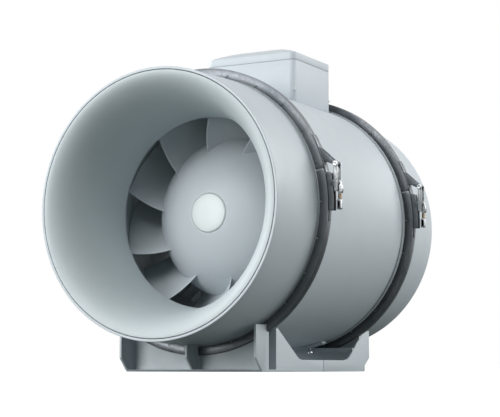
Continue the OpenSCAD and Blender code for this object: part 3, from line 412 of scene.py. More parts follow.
def block(low, high):
    """A box between two corners."""
    deselect()
    low, high = Vector(low), Vector(high)
    bpy.ops.mesh.primitive_cube_add(size=1, location=(low + high) / 2, scale=high - low)
    piece = bpy.context.object
    bpy.ops.object.transform_apply(location=True, rotation=True, scale=True)
    return piece


def rod(start, end, radius, sides=48):
    """A cylinder from start to end."""
    deselect()
    start, end = Vector(start), Vector(end)
    along = end - start
    bpy.ops.mesh.primitive_cylinder_add(
        vertices=sides, radius=radius, depth=along.length, location=(start + end) / 2,
        rotation=along.to_track_quat("Z", "Y").to_euler(),
    )
    piece = bpy.context.object
    bpy.ops.object.transform_apply(location=True, rotation=True, scale=True)
    return piece


def apply_modifier(piece, kind, **settings):
    activate(piece)
    modifier = piece.modifiers.new(kind.lower(), kind)
    for name, value in settings.items():
        setattr(modifier, name, value)
    bpy.ops.object.modifier_apply(modifier=modifier.name)
    return piece


def cut(piece, *cutters, operation="DIFFERENCE"):
    for cutter in cutters:
        apply_modifier(piece, "BOOLEAN", object=cutter, operation=operation, solver="EXACT")
        bpy.data.objects.remove(cutter)
    return piece


def soften(piece, width, segments=3, angle=30):
    return apply_modifier(
        piece, "BEVEL", width=width, segments=segments, limit_method="ANGLE",
        angle_limit=math.radians(angle), use_clamp_overlap=True,
    )


def joined(*pieces):
    deselect()
    for piece in pieces:
        piece.select_set(True)
    bpy.context.view_layer.objects.active = pieces[0]
    bpy.ops.object.join()
    return pieces[0]


def copy_moved(piece, shift):
    twin = piece.copy()
    twin.data = piece.data.copy()
    scene.collection.objects.link(twin)
    twin.data.transform(Matrix.Translation(shift))
    return twin


def turn(piece, angle):
    """Turns a piece about the fan's axis."""
    shift = Matrix.Translation((0, 0, AXIS_Z))
    piece.data.transform(shift @ Matrix.Rotation(angle, 4, "Y") @ shift.inverted())
    return piece


def turned_copies(piece, angles):
    """Copies of a piece turned about the fan's axis, in place of the piece itself."""
    twins = [turn(copy_moved(piece, Vector((0, 0, 0))), angle) for angle in angles]
    bpy.data.objects.remove(piece)
    return joined(*twins)


def finished(piece, name, finish, body, *nodes, smooth=32):
    activate(piece)
    bpy.ops.object.transform_apply(location=True, rotation=True, scale=True)
    bpy.ops.object.shade_smooth_by_angle(angle=math.radians(smooth))
    piece.name = name
    piece.data.materials.clear()
    piece.data.materials.append(FINISH[finish])
    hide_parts(*nodes)
    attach(piece, body)
    print(name, len(piece.data.polygons), "faces")
    return piece


def refined(node, finish, body, width):
    """A copy of a solid with its flat faces merged and its edges rounded."""
    piece = frame["nodes"][node].copy()
    piece.data = piece.data.copy()
    piece.parent = None
    for key in [key for key in piece.keys() if key.startswith("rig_")]:
        del piece[key]
    scene.collection.objects.link(piece)
    piece.hide_render = piece.hide_viewport = False
    edit_all(piece)
    bpy.ops.mesh.remove_doubles(threshold=SAME_PLACE)
    bpy.ops.mesh.dissolve_limited(angle_limit=math.radians(0.6))
    bpy.ops.object.mode_set(mode="OBJECT")
    if width:
        soften(piece, width, 2, 40)
    return finished(piece, node + "_part", finish, body, node)


# %% [markdown]
# ## Spigots and casing
# A spigot is a moulded ring: a straight collar for the duct, a widening cone and a neck with the flange
# that the clamp band grips. It is turned from its outline, and Bevel rounds its rim and flange.
# %% Inlet and outlet spigots
COLLAR_L = 24 * MM
CONE_L = 48 * MM
FLANGE_T = 3.3 * MM
SEAL_T = 0.8 * MM
RIM_SEAT = 4 * MM
CONE_STEPS = 12


def cone_r(share):
    return SPIGOT_R + (NECK_R - SPIGOT_R) * (1 - (1 - share) ** 1.5)


def spigot_outline(rim, joint, inward):
    """The outline from the rim to the flange. inward is 1 for the inlet and -1 for the outlet."""
    cone = rim + inward * COLLAR_L
    face = joint - inward * SEAL_T / 2
    shares = [i / CONE_STEPS for i in range(CONE_STEPS + 1)]
    outside = [(cone_r(s), cone + inward * CONE_L * s) for s in shares]
    inside = [(radius - WALL, y) for radius, y in reversed(outside)]
    return [
        (SPIGOT_R, rim), *outside, (NECK_R, face - inward * FLANGE_T), (FLANGE_R, face - inward * FLANGE_T),
        (FLANGE_R, face), (NECK_R - WALL, face), *inside,
        (SPIGOT_R - WALL, rim + inward * (RIM_SEAT + MM)), (SEAM_R + 0.5 * MM, rim + inward * RIM_SEAT),
        (SEAM_R + 0.5 * MM, rim),
    ]


for name, rim, joint, inward in (
    ("inlet_spigot", FRONT_RIM, FRONT_JOINT, 1),
    ("outlet_spigot", BACK_RIM, BACK_JOINT, -1),
):
    spigot = soften(turned(spigot_outline(rim, joint, inward)), 0.5 * MM, 3, 40)
    finished(spigot, name + "_shell", "shell_plastic", "housing", name)

# %% [markdown]
# The bell leads the air from the rim to the impeller in one smooth curve. It is a separate moulding that
# is pushed into the spigot, and the fine gap between the two shows as a dark ring round the mouth.
# %% Inlet bell
THROAT_R = 113.5 * MM
BELL_END = -112 * MM
BELL_POWER = 1.9
BELL_STEPS = 40
BELL_OPEN = SEAM_R - 1.3 * MM - THROAT_R
BELL_TAIL = 5 * MM


def bell_r(y):
    depth = (BELL_END - y) / (BELL_END - FRONT_RIM)
    return THROAT_R + BELL_OPEN * (1 - (1 - depth**BELL_POWER) ** (1 / BELL_POWER))


bell_places = [
    BELL_END - (BELL_END - FRONT_RIM) * math.sin(math.pi / 2 * i / BELL_STEPS) for i in range(BELL_STEPS + 1)
]
bell_inside = [(bell_r(y), y) for y in bell_places]
bell_outside = [(radius + WALL, y + MM * i / 9) for i, (radius, y) in enumerate(bell_inside[:-6])]
bell_edge = SEAM_R - 0.3 * MM
bell_outside = [(min(radius, bell_edge), y) for radius, y in bell_outside]
bell_outline = [
    *reversed(bell_inside), (THROAT_R, BELL_END + BELL_TAIL), (THROAT_R + WALL, BELL_END + BELL_TAIL),
    *bell_outside, (bell_edge, FRONT_RIM + RIM_SEAT), (bell_edge, FRONT_RIM),
]
bell = soften(turned(bell_outline), 0.3 * MM, 2, 50)
finished(bell, "inlet_bell_liner", "bell_plastic", "housing", "inlet_bell")

# %% [markdown]
# The centre casing is a plain drum with a flange at each end. Its edges are rounded by Bevel.
# %% Centre casing
casing_front = FRONT_JOINT + SEAL_T / 2
casing_back = BACK_JOINT - SEAL_T / 2
casing_outline = [
    (FLANGE_R, casing_front), (FLANGE_R, casing_front + FLANGE_T), (CASING_R, casing_front + FLANGE_T),
    (CASING_R, casing_back - FLANGE_T), (FLANGE_R, casing_back - FLANGE_T), (FLANGE_R, casing_back),
    (CASING_R - WALL, casing_back), (CASING_R - WALL, casing_front),
]
casing = soften(turned(casing_outline), 0.4 * MM, 2, 50)
finished(casing, "casing_drum", "shell_plastic", "housing", "centre_casing")

# %% [markdown]
# ## Clamp bands
# A band is spring steel of U section that holds two flanges together. Short slits in both lips let it
# follow the round. The section is turned, and the slits and the gap below the latch are cut out.
# %% Clamp bands
BAND_W = 10 * MM
BAND_T = 1 * MM
LIP_R = CASING_R + 0.15 * MM
SLIT_COUNT = 24
SLIT_FIRST = math.radians(14)
SLIT_W = 1.2 * MM
SLIT_L = 3 * MM
GAP_ANGLE = math.radians(76)
GAP_W = 2 * MM


def at_angle(angle, radius, y):
    """A point on the fan, its angle counted from the top towards the right."""
    return Vector((radius * math.sin(angle), y, AXIS_Z + radius * math.cos(angle)))


def band_at(joint):
    low, high = joint - BAND_W / 2, joint + BAND_W / 2
    band = turned([
        (BAND_R, low), (BAND_R, high), (LIP_R, high), (LIP_R, high - BAND_T),
        (BAND_R - BAND_T, high - BAND_T),
        (BAND_R - BAND_T, low + BAND_T), (LIP_R, low + BAND_T), (LIP_R, low),
    ])
    slit = block(
        (-SLIT_W / 2, low - MM, AXIS_Z + LIP_R - MM), (SLIT_W / 2, high + MM, AXIS_Z + LIP_R + SLIT_L)
    )
    slits = turned_copies(slit, [SLIT_FIRST + i * 2 * math.pi / SLIT_COUNT for i in range(SLIT_COUNT)])
    gap = block((-GAP_W / 2, low - MM, AXIS_Z + LIP_R - MM), (GAP_W / 2, high + MM, AXIS_Z + BAND_R + MM))
    return soften(cut(band, slits, turn(gap, GAP_ANGLE)), 0.25 * MM, 2, 50)


finished(band_at(FRONT_JOINT), "front_band_steel", "band_steel", "housing", "front_band")
finished(band_at(BACK_JOINT), "rear_band_steel", "band_steel", "housing", "rear_band")

# %% [markdown]
# ## Impeller
# The hub is a dome that is turned in one piece with a shallow seat for the cap. Each of the ten blades is
# a grid whose rows run from hub to tip. Its twist follows a formula, so the grid's vertices are put in
# place by that formula instead of being dragged, and Solidify and Bevel then give the blade its body.
# %% Hub
HUB_R = 100 * MM
HUB_DEPTH = 73 * MM
HUB_WIDEST = -30 * MM
HUB_BACK = -12 * MM
HUB_WALL = 3.4 * MM
CAP_R = 23.5 * MM
LEDGE_Y = -97 * MM
CAP_ROOM = CAP_R + 0.3 * MM
CUP_R = 18 * MM
CUP_Y = -89 * MM
CUP_T = 4 * MM
BORE_R = 7 * MM
SLEEVE_R = 14 * MM
HUB_STEPS = 36


def hub_r(y):
    depth = max(0, (HUB_WIDEST - y) / HUB_DEPTH)
    return HUB_R * math.sqrt(max(0, 1 - depth**2))


cap_edge_y = HUB_WIDEST - HUB_DEPTH * math.sqrt(1 - (CAP_ROOM / HUB_R) ** 2)
dome_y = [
    cap_edge_y + (HUB_WIDEST - cap_edge_y) * (1 - math.cos(math.pi / 2 * i / HUB_STEPS))
    for i in range(HUB_STEPS + 1)
]
dome = [(hub_r(y), y) for y in dome_y]
dome_inside = [(radius - HUB_WALL, y + HUB_WALL * 0.6) for radius, y in reversed(dome[4:])]
hub = soften(
    turned([
        (BORE_R, CUP_Y), (CUP_R, CUP_Y), (CUP_R, LEDGE_Y), (CAP_ROOM, LEDGE_Y), *dome,
        (HUB_R, HUB_BACK), (HUB_R - HUB_WALL, HUB_BACK), *dome_inside, (CUP_R + HUB_WALL, LEDGE_Y + HUB_WALL),
        (CUP_R + HUB_WALL, CUP_Y + CUP_T), (SLEEVE_R, CUP_Y + CUP_T), (SLEEVE_R, HUB_BACK - CUP_T),
        (BORE_R, HUB_BACK - CUP_T),
    ]),
    0.5 * MM, 2, 50,
)
print("hub", len(hub.data.polygons), "faces")

# %% Blades
BLADE_COUNT = 10
BLADE_T = 2.4 * MM
TIP_GAP = 1.5 * MM
SHROUD_START = -108 * MM
SHROUD_LIP = 116.5 * MM
DUCT_R = 153 * MM
CHORD_STEPS = 28
SPAN_STEPS = 16
LEAD_ANGLE = -12.4
LEAD_LAG = 9.8
ROOT_WRAP = 44
TIP_WRAP = 34
LEAD_Y = (-75 * MM, -90 * MM)
TRAIL_Y = (-18 * MM, -29 * MM)


def mix(first, second, share):
    return first + (second - first) * share


def shroud_r(y):
    share = min(1, max(0, (y - SHROUD_START) / -SHROUD_START))
    return SHROUD_LIP + (DUCT_R - SHROUD_LIP) * math.sin(math.pi / 2 * share)


def blade_point(chord, span):
    """A point on the middle surface of the blade at the top. chord and span run from 0 to 1."""
    root_y = mix(LEAD_Y[0], TRAIL_Y[0], chord)
    tip_y = mix(LEAD_Y[1], TRAIL_Y[1], chord)
    radius = mix(hub_r(root_y) - 1.6 * MM, shroud_r(tip_y) - TIP_GAP, span)
    angle = LEAD_ANGLE + LEAD_LAG * span**1.15 + mix(ROOT_WRAP, TIP_WRAP, span) * chord
    return at_angle(math.radians(angle), radius, mix(root_y, tip_y, span))


deselect()
bpy.ops.mesh.primitive_grid_add(x_subdivisions=CHORD_STEPS, y_subdivisions=SPAN_STEPS, size=1)
blade = bpy.context.object
for vertex in blade.data.vertices:
    vertex.co = blade_point(vertex.co.x + 0.5, vertex.co.y + 0.5)
thin = blade.vertex_groups.new(name="thickness")
for vertex in blade.data.vertices:
    row = vertex.index % (CHORD_STEPS + 1)
    share = row / CHORD_STEPS
    thin.add([vertex.index], 0.4 + 0.6 * math.sin(math.pi * share**0.7), "REPLACE")
apply_modifier(blade, "SOLIDIFY", thickness=BLADE_T, offset=0, vertex_group="thickness", use_even_offset=True)
edit_all(blade)
bpy.ops.mesh.normals_make_consistent(inside=False)
bpy.ops.object.mode_set(mode="OBJECT")
soften(blade, 0.45 * MM, 3, 50)
blades = turned_copies(blade, [i * 2 * math.pi / BLADE_COUNT for i in range(BLADE_COUNT)])
finished(hub, "impeller_dome", "impeller_plastic", "rotor", "impeller_hub", smooth=40)
finished(blades, "impeller_blade_set", "impeller_plastic", "rotor", "impeller_blades", smooth=40)

# %% [markdown]
# The cap closes the seat in the nose. It is paler than the hub and slightly domed.
# %% Nose cap
CAP_FRONT = -103.8 * MM
CAP_T = 1.9 * MM
CAP_DOME = 2.2 * MM
cap_dome = [
    (CAP_R * math.sin(a), CAP_FRONT + CAP_DOME * (1 - math.cos(a)))
    for a in [math.radians(i * 10) for i in range(8)]
]
cap = turned([
    *cap_dome, (CAP_R, CAP_FRONT + 2.8 * MM), (CAP_R, LEDGE_Y - 0.1 * MM),
    (CAP_R - CAP_T, LEDGE_Y - 0.1 * MM), (CAP_R - CAP_T, CAP_FRONT + 3.6 * MM), (0, CAP_FRONT + CAP_T),
])
finished(soften(cap, 0.4 * MM, 3, 35), "nose_cap_disc", "cap_plastic", "rotor", "nose_cap")

# %% [markdown]
# ## Latches
# Each band is drawn tight by an over-centre latch. A bracket with two ears carries the catch pin, a link
# hangs from the pin and ends in a crossbar, and a lever on the channel hooks that bar and pulls it down.
# The front latch is modelled once, and the rear one is a copy moved along the fan.
# %% Places in the latch
CATCH_R = 184 * MM
CATCH_ANGLE = math.radians(76)
PIVOT_STEP = Vector((1.6 * MM, 0, -21.6 * MM))
BAR_STEP = Vector((-1.6 * MM, 0, -7.8 * MM))
EAR_IN = 2.8 * MM
EAR_T = 1 * MM
EAR_OUT = EAR_IN + EAR_T
LINK_IN = EAR_OUT + 0.4 * MM
LINK_OUT = LINK_IN + EAR_T
LEVER_HALF = 2.4 * MM
PIN_R = 1.2 * MM
EYE_R = PIN_R + 1.6 * MM
BAR_R = 1 * MM
LOOSE = 0.05 * MM
SEAT_R = BAND_R + 0.1 * MM
STRAP_T = 1.4 * MM
LATCH_SHIFT = Vector((0, BACK_JOINT - FRONT_JOINT, 0))
catch = at_angle(CATCH_ANGLE, CATCH_R, FRONT_JOINT)
pivot = catch + PIVOT_STEP
bar = pivot + BAR_STEP
print("catch pin", [round(value, 4) for value in catch], "lever pin", [round(value, 4) for value in pivot])


def across(place, y):
    return Vector((place.x, FRONT_JOINT + y, place.z))


def ring_points(centre, radius, first, last, steps):
    """Points on an arc across the fan, its angles in degrees counted from the right towards the top."""
    angles = [math.radians(first + (last - first) * i / steps) for i in range(steps + 1)]
    return [centre + Vector((radius * math.cos(a), 0, radius * math.sin(a))) for a in angles]


def swept(radius, thickness, low, high, first, last, steps):
    """A curved plate from y low to y high, between two angles in degrees from the top."""
    piece = trace([at_angle(math.radians(first), r, y) for r, y in (
        (radius, low), (radius, high), (radius + thickness, high), (radius + thickness, low),
    )])
    bpy.ops.mesh.edge_face_add()
    bpy.ops.mesh.spin(
        steps=steps, angle=math.radians(first - last), center=(0, (low + high) / 2, AXIS_Z), axis=(0, 1, 0)
    )
    close_mesh()
    return piece


def strap(radius, thickness, half, first, last):
    """A piece of band between two angles, in degrees from the top."""
    steps = max(3, round(abs(last - first) * 1.5))
    return swept(radius, thickness, FRONT_JOINT - half, FRONT_JOINT + half, first, last, steps)


def ears(outline, inner, *holes):
    """Two plates with the same outline, on both sides of the latch, with round holes."""
    pair = []
    for low in (inner, -inner - EAR_T):
        ear = plate([across(point, low) for point in outline], Vector((0, EAR_T, 0)))
        for centre, radius in holes:
            cut(ear, rod(across(centre, low - MM), across(centre, low + EAR_T + MM), radius))
        pair.append(ear)
    return joined(*pair)


def latch_pieces(pieces, finish, body, node):
    """Finishes the front piece and its copy on the rear band."""
    piece = joined(*pieces) if len(pieces) > 1 else pieces[0]
    twin = copy_moved(piece, LATCH_SHIFT)
    finished(piece, "front_" + node + "_piece", finish, body("front"), "front_" + node)
    finished(twin, "rear_" + node + "_piece", finish, body("rear"), "rear_" + node)


def on_housing(end):
    return "housing"


def on_lever(end):
    return end + "_lever_body"


def on_link(end):
    return end + "_link_body"


# %% Catch bracket with its pin
CATCH_FIRST, CATCH_LAST, TONGUE_LAST = 62, 73.2, 77.9
strap_plate = soften(strap(SEAT_R, STRAP_T, 4.6 * MM, CATCH_FIRST, TONGUE_LAST), 0.3 * MM, 2)
foot_high = at_angle(math.radians(CATCH_FIRST + 5), SEAT_R + STRAP_T / 2, FRONT_JOINT)
foot_low = at_angle(math.radians(CATCH_LAST), SEAT_R + STRAP_T / 2, FRONT_JOINT)
ear_outline = [foot_high, *reversed(ring_points(catch, EYE_R, -75, 105, 12)), foot_low]
catch_ears = soften(ears(ear_outline, EAR_IN, (catch, PIN_R)), 0.2 * MM, 2)
DIMPLE_R = 1.3 * MM
DIMPLE_H = 0.35 * MM
dimples = []
for angle in (64, 66.5):
    place = at_angle(math.radians(angle), SEAT_R + STRAP_T, FRONT_JOINT)
    outward = (at_angle(math.radians(angle), 1, FRONT_JOINT) - Vector((0, FRONT_JOINT, AXIS_Z))).normalized()
    dimples.append(soften(rod(place - outward * MM, place + outward * DIMPLE_H, DIMPLE_R), 0.3 * MM, 2))
latch_pieces([strap_plate, catch_ears, *dimples], "band_steel", on_housing, "catch")

PIN_END = LINK_OUT + 0.3 * MM
HEAD_R = 3 * MM
HEAD_H = 1.6 * MM
SOCKET_R = 1.5 * MM
RIVET_R = 2.2 * MM
RIVET_H = 0.8 * MM
pin = soften(rod(across(catch, -PIN_END), across(catch, PIN_END), PIN_R), 0.1 * MM, 1)
head = rod(across(catch, -PIN_END - HEAD_H), across(catch, -PIN_END), HEAD_R)
socket = rod(across(catch, -PIN_END - HEAD_H - MM), across(catch, -PIN_END - HEAD_H * 0.45), SOCKET_R, 6)
head = soften(cut(head, socket), 0.45 * MM, 3)
rivet = soften(rod(across(catch, PIN_END), across(catch, PIN_END + RIVET_H), RIVET_R), 0.35 * MM, 3)
latch_pieces([pin, head, rivet], "zinc_steel", on_housing, "catch_pin")

# %% Latch channel
CHANNEL_FIRST, CHANNEL_LAST = 78.2, 92.5
CHANNEL_H = 6.4 * MM
LAP = 0.06 * MM
floor_strap = strap(SEAT_R + LAP, STRAP_T, EAR_OUT - LAP, CHANNEL_FIRST, CHANNEL_LAST)
tail_strap = strap(SEAT_R, 1.1 * MM, 2 * MM, CHANNEL_LAST - 1, CHANNEL_LAST + 4)
flanges = []
for side in (-1, 1):
    flange = strap(SEAT_R, CHANNEL_H, EAR_T / 2, CHANNEL_FIRST, CHANNEL_LAST)
    flange.data.transform(Matrix.Translation((0, side * (EAR_IN + EAR_T / 2), 0)))
    flanges.append(soften(flange, 0.35 * MM, 3))
foot = pivot - Vector((0, 0, 4 * MM))
foot.x = SEAT_R + 2 * MM
heel = pivot + Vector((0, 0, 5 * MM))
heel.x = SEAT_R + MM
pivot_outline = [foot, *ring_points(pivot, EYE_R, -90, 90, 12), heel]
pivot_ears = soften(ears(pivot_outline, EAR_IN + LAP, (pivot, PIN_R)), 0.2 * MM, 2)
latch_pieces(
    [soften(floor_strap, 0.2 * MM, 2), soften(tail_strap, 0.3 * MM, 2), *flanges, pivot_ears],
    "band_steel", on_housing, "latch_channel",
)
lever_pin = rod(across(pivot, -EAR_OUT - 0.1 * MM), across(pivot, EAR_OUT + 0.1 * MM), PIN_R)
latch_pieces([soften(lever_pin, 0.2 * MM, 2)], "zinc_steel", on_housing, "lever_pin")

# %% Link
LINK_TOP_R = 2.4 * MM
LINK_END_R = 2.2 * MM
link_outline = [
    *ring_points(catch, LINK_TOP_R, 0, 180, 12), *ring_points(bar, LINK_END_R, 180, 360, 12),
]
link_plates = ears(link_outline, LINK_IN, (catch, PIN_R + LOOSE))
crossbar = rod(across(bar, -LINK_OUT - 0.3 * MM), across(bar, LINK_OUT + 0.3 * MM), BAR_R)
latch_pieces(
    [soften(link_plates, 0.2 * MM, 2), soften(crossbar, 0.2 * MM, 2)], "latch_steel", on_link, "link"
)

# %% Lever
BOSS_R = 3.4 * MM
BAR_SLOT_R = BAR_R + 0.25 * MM
STEM_X = 1.4 * MM
STEM_R = 1.3 * MM
STEM_LAP = 0.6 * MM
LOOP_RIM = 1.6 * MM
LOOP_TOP = -18.4 * MM
LOOP_END = -30 * MM
HOOK_END = -11.6 * MM
body_outline = [
    *reversed(ring_points(pivot, BOSS_R, 0, 180, 14)),
    *[pivot + Vector((x * MM, 0, z * MM)) for x, z in (
        (4.4, -3), (5.2, -6), (5, -9), (3.4, -11.6), (-0.6, -11.6), (-0.2, -8), (-3.3, -7.3),
    )],
]
lever_body = plate([across(point, -LEVER_HALF) for point in body_outline], Vector((0, 2 * LEVER_HALF, 0)))
slot_low = bar + Vector((-1.9 * MM, -LEVER_HALF - MM, -4.6 * MM))
slot_high = bar + Vector((BAR_SLOT_R, LEVER_HALF + MM, 0))
cut(
    lever_body,
    rod(across(pivot, -LEVER_HALF - MM), across(pivot, LEVER_HALF + MM), PIN_R + LOOSE),
    rod(across(bar, -LEVER_HALF - MM), across(bar, LEVER_HALF + MM), BAR_SLOT_R),
    block(slot_low, slot_high),
)
stem_top = pivot + Vector((STEM_X, 0, HOOK_END + STEM_LAP))
stem = rod(stem_top, pivot + Vector((STEM_X, 0, LOOP_TOP - STEM_LAP)), STEM_R)
loop_middle = pivot + Vector((MM, 0, (LOOP_TOP + LOOP_END) / 2))
LOOP_W = 3 * MM
loop = block(
    loop_middle - Vector((LOOP_W, LEVER_HALF, (LOOP_TOP - LOOP_END) / 2)),
    loop_middle + Vector((LOOP_W, LEVER_HALF, (LOOP_TOP - LOOP_END) / 2)),
)
loop = soften(loop, 1.6 * MM, 4, 80)
window = block(
    loop_middle - Vector((LOOP_W - LOOP_RIM, LEVER_HALF + MM, 3.6 * MM)),
    loop_middle + Vector((LOOP_W - LOOP_RIM, LEVER_HALF + MM, 3.8 * MM)),
)
loop = soften(cut(loop, soften(window, 0.6 * MM, 3)), 0.35 * MM, 2, 50)
latch_pieces([soften(lever_body, 0.4 * MM, 3, 40), stem, loop], "latch_steel", on_lever, "lever")

# %% [markdown]
# The spring on the stem is a real coil: Screw spins a round wire section and moves it along at the same
# time. Its two cut ends are then closed.
# %% Coil spring on the stem
COIL_R = 1.85 * MM
WIRE_R = 0.42 * MM
COIL_TURNS = 7
COIL_L = 5.8 * MM
COIL_STEPS = 24 * COIL_TURNS
coil_centre = pivot + Vector((STEM_X, 0, LOOP_TOP + 0.5 * MM))
deselect()
bpy.ops.mesh.primitive_circle_add(
    vertices=10, radius=WIRE_R, location=coil_centre + Vector((COIL_R, 0, 0)), rotation=(math.pi / 2, 0, 0)
)
coil = bpy.context.object
bpy.ops.object.transform_apply(location=True, rotation=True, scale=True)
coil.data.transform(Matrix.Translation(-coil_centre))
apply_modifier(
    coil, "SCREW", axis="Z", angle=2 * math.pi * COIL_TURNS, screw_offset=COIL_L,
    steps=COIL_STEPS, render_steps=COIL_STEPS, use_merge_vertices=False,
)
coil.data.transform(Matrix.Translation(coil_centre))
activate(coil)
bpy.ops.object.mode_set(mode="EDIT")
bpy.ops.mesh.select_all(action="DESELECT")
bpy.ops.mesh.select_non_manifold()
bpy.ops.mesh.edge_face_add()
close_mesh()
latch_pieces([coil], "spring_brass", on_lever, "handle_spring")

# %% [markdown]
# ## Stand
# The stand is moulded in two halves that meet below the casing. Each half starts as its side view drawn
# out to the full width. Boolean takes out the rooms between its walls, Bevel rounds every corner, and
# then the ribs and the pads for the screws are added. The fan's own round is cut away last.
# %% Stand
STAND_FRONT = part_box("stand_front")[0].y
STAND_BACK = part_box("stand_rear")[1].y
SEAM_Y = (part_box("stand_front")[1].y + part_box("stand_rear")[0].y) / 2
SEAM_HALF = 0.5 * MM
STAND_X = half_width("stand_front")
STAND_T = 3 * MM
FLOOR_T = 2.5 * MM
FRONT_WALL = FRONT_JOINT - 3.2 * MM
REAR_WALL = BACK_JOINT + 3.2 * MM
STAND_MID = (FRONT_JOINT + BACK_JOINT) / 2
SIDE_FRONT = FRONT_WALL + 21 * MM
INNER_WALL = 2 * STAND_MID - SIDE_FRONT - STAND_T
SILL_Z = 14 * MM
WALL_TOP = 50.5 * MM
FOOT_Z = 16 * MM
SADDLE_R = CASING_R + 0.3 * MM
HOLE_X, HOLE_Y, HOLE_R = 65 * MM, 85 * MM, 3.3 * MM
SCREW_ANGLE = math.radians(168)
SCREW_HOLE_R = 1.9 * MM
SCREW_INSET = 6 * MM
PAD_HALF = 7.5
PAD_STEPS = 12
PAD_L = 14 * MM
BRACE_X = 45 * MM
INSIDE_X = STAND_X - STAND_T
ABOVE = 70 * MM
STEP = 0.1 * MM


def drawn_out(outline, x, thickness):
    """An outline in (y, z), filled and stretched along x."""
    return plate([Vector((x, y, z)) for y, z in outline], Vector((thickness, 0, 0)))


def room(low_x, high_x, low_y, high_y):
    """A cutter that empties the stand above its floor."""
    return block((low_x, low_y, FLOOR_T), (high_x, high_y, ABOVE))


def pad(angle, low, high):
    """A curved pad for a screw, sunk a little into the round that is cut away later."""
    middle_angle = math.degrees(angle)
    return swept(
        SADDLE_R - MM, STAND_T + MM, low, high, middle_angle - PAD_HALF, middle_angle + PAD_HALF, PAD_STEPS
    )


def casing_room():
    """The space of the fan above the stand, as cutters."""
    centre = Vector((0, 0, AXIS_Z))
    spans = [(-0.4, 0.4, NECK_R + 0.4 * MM), (FRONT_JOINT, BACK_JOINT, SADDLE_R)]
    half = BAND_W / 2 + 0.5 * MM
    spans += [(joint - half, joint + half, BAND_R + 0.4 * MM) for joint in (FRONT_JOINT, BACK_JOINT)]
    return [
        rod(centre + Vector((0, low, 0)), centre + Vector((0, high, 0)), radius, 180)
        for low, high, radius in spans
    ]


def stand_cuts():
    """Fixing holes in the floor and screw holes in the pads."""
    holes = [
        rod((x, STAND_MID + y, -MM), (x, STAND_MID + y, FLOOR_T + MM), HOLE_R)
        for x in (-HOLE_X, HOLE_X) for y in (-HOLE_Y, HOLE_Y)
    ]
    for y in (SIDE_FRONT + STAND_T + SCREW_INSET, INNER_WALL - SCREW_INSET):
        for angle in (SCREW_ANGLE, -SCREW_ANGLE):
            start, end = at_angle(angle, SADDLE_R - 8 * MM, y), at_angle(angle, SADDLE_R + STAND_T + MM, y)
            holes.append(rod(start, end, SCREW_HOLE_R))
    return holes


def stand_half(outline, rooms, added):
    """The side view drawn out, with rooms cut from it and more pieces added."""
    body = cut(drawn_out(outline, -STAND_X, 2 * STAND_X), *rooms)
    soften(body, 0.7 * MM, 3, 45)
    cut(body, *added, operation="UNION")
    return cut(body, *casing_room(), *stand_cuts())


front_outline = [
    (STAND_FRONT + 15 * MM, 0), (STAND_FRONT, FOOT_Z), (STAND_FRONT, WALL_TOP + 3 * MM),
    (SIDE_FRONT - 9 * MM, WALL_TOP + 3 * MM), (SIDE_FRONT - 9 * MM, WALL_TOP - 4.9 * MM),
    (SIDE_FRONT + 4 * MM, WALL_TOP),
    (SIDE_FRONT + 51 * MM, SILL_Z + 6 * MM), (SIDE_FRONT + 58 * MM, SILL_Z + 1.6 * MM),
    (SIDE_FRONT + 67 * MM, SILL_Z), (SEAM_Y - SEAM_HALF, SILL_Z), (SEAM_Y - SEAM_HALF, 0),
]
LOW_BRACE, HIGH_BRACE = BRACE_X - STAND_T / 2, BRACE_X + STAND_T / 2
OUT_X = STAND_X + MM
brace_comb = [
    (-OUT_X, FLOOR_T), (-HIGH_BRACE, FLOOR_T), (-HIGH_BRACE, SILL_Z), (-LOW_BRACE, SILL_Z),
    (-LOW_BRACE, FLOOR_T),
    (LOW_BRACE, FLOOR_T), (LOW_BRACE, SILL_Z), (HIGH_BRACE, SILL_Z), (HIGH_BRACE, FLOOR_T), (OUT_X, FLOOR_T),
    (OUT_X, ABOVE), (-OUT_X, ABOVE),
]
WALL_BACK = FRONT_WALL + STAND_T
front_rooms = [
    room(-INSIDE_X, -STAND_T / 2, STAND_FRONT - MM, FRONT_WALL),
    room(STAND_T / 2, INSIDE_X, STAND_FRONT - MM, FRONT_WALL),
    plate([Vector((x, WALL_BACK, z)) for x, z in brace_comb], Vector((0, SIDE_FRONT - WALL_BACK, 0))),
    room(-INSIDE_X, INSIDE_X, SIDE_FRONT + STAND_T, SEAM_Y + MM),
]
front_pads = [pad(angle, SIDE_FRONT + MM, SIDE_FRONT + PAD_L) for angle in (SCREW_ANGLE, -SCREW_ANGLE)]
front_half = stand_half(front_outline, front_rooms, front_pads)
finished(front_half, "stand_front_half", "stand_plastic", "housing", "stand_front")

REAR_FOOT = STAND_BACK - 14 * MM
rear_outline = [
    (SEAM_Y + SEAM_HALF, 0), (SEAM_Y + SEAM_HALF, SILL_Z), (STAND_MID + 80 * MM, SILL_Z),
    (STAND_MID + 90 * MM, SILL_Z + 2 * MM), (STAND_MID + 98 * MM, SILL_Z + 7 * MM),
    (STAND_MID + 138.5 * MM, WALL_TOP + 2 * MM), (STAND_BACK, WALL_TOP + 2 * MM),
    (STAND_BACK, FOOT_Z + 1.5 * MM), (REAR_FOOT, 7.5 * MM), (REAR_FOOT, 0),
]
rear_rooms = [
    room(-INSIDE_X, INSIDE_X, SEAM_Y - MM, INNER_WALL),
    room(-INSIDE_X, INSIDE_X, INNER_WALL + STAND_T, REAR_WALL - STAND_T),
    room(-INSIDE_X, INSIDE_X, REAR_WALL, STAND_BACK + MM),
]
rear_rib = [
    (REAR_WALL - MM, MM), (REAR_FOOT - MM, MM), (STAND_BACK - STEP, FOOT_Z),
    (STAND_BACK - STEP, WALL_TOP + 3 * MM), (REAR_WALL - MM, WALL_TOP + 3 * MM),
]
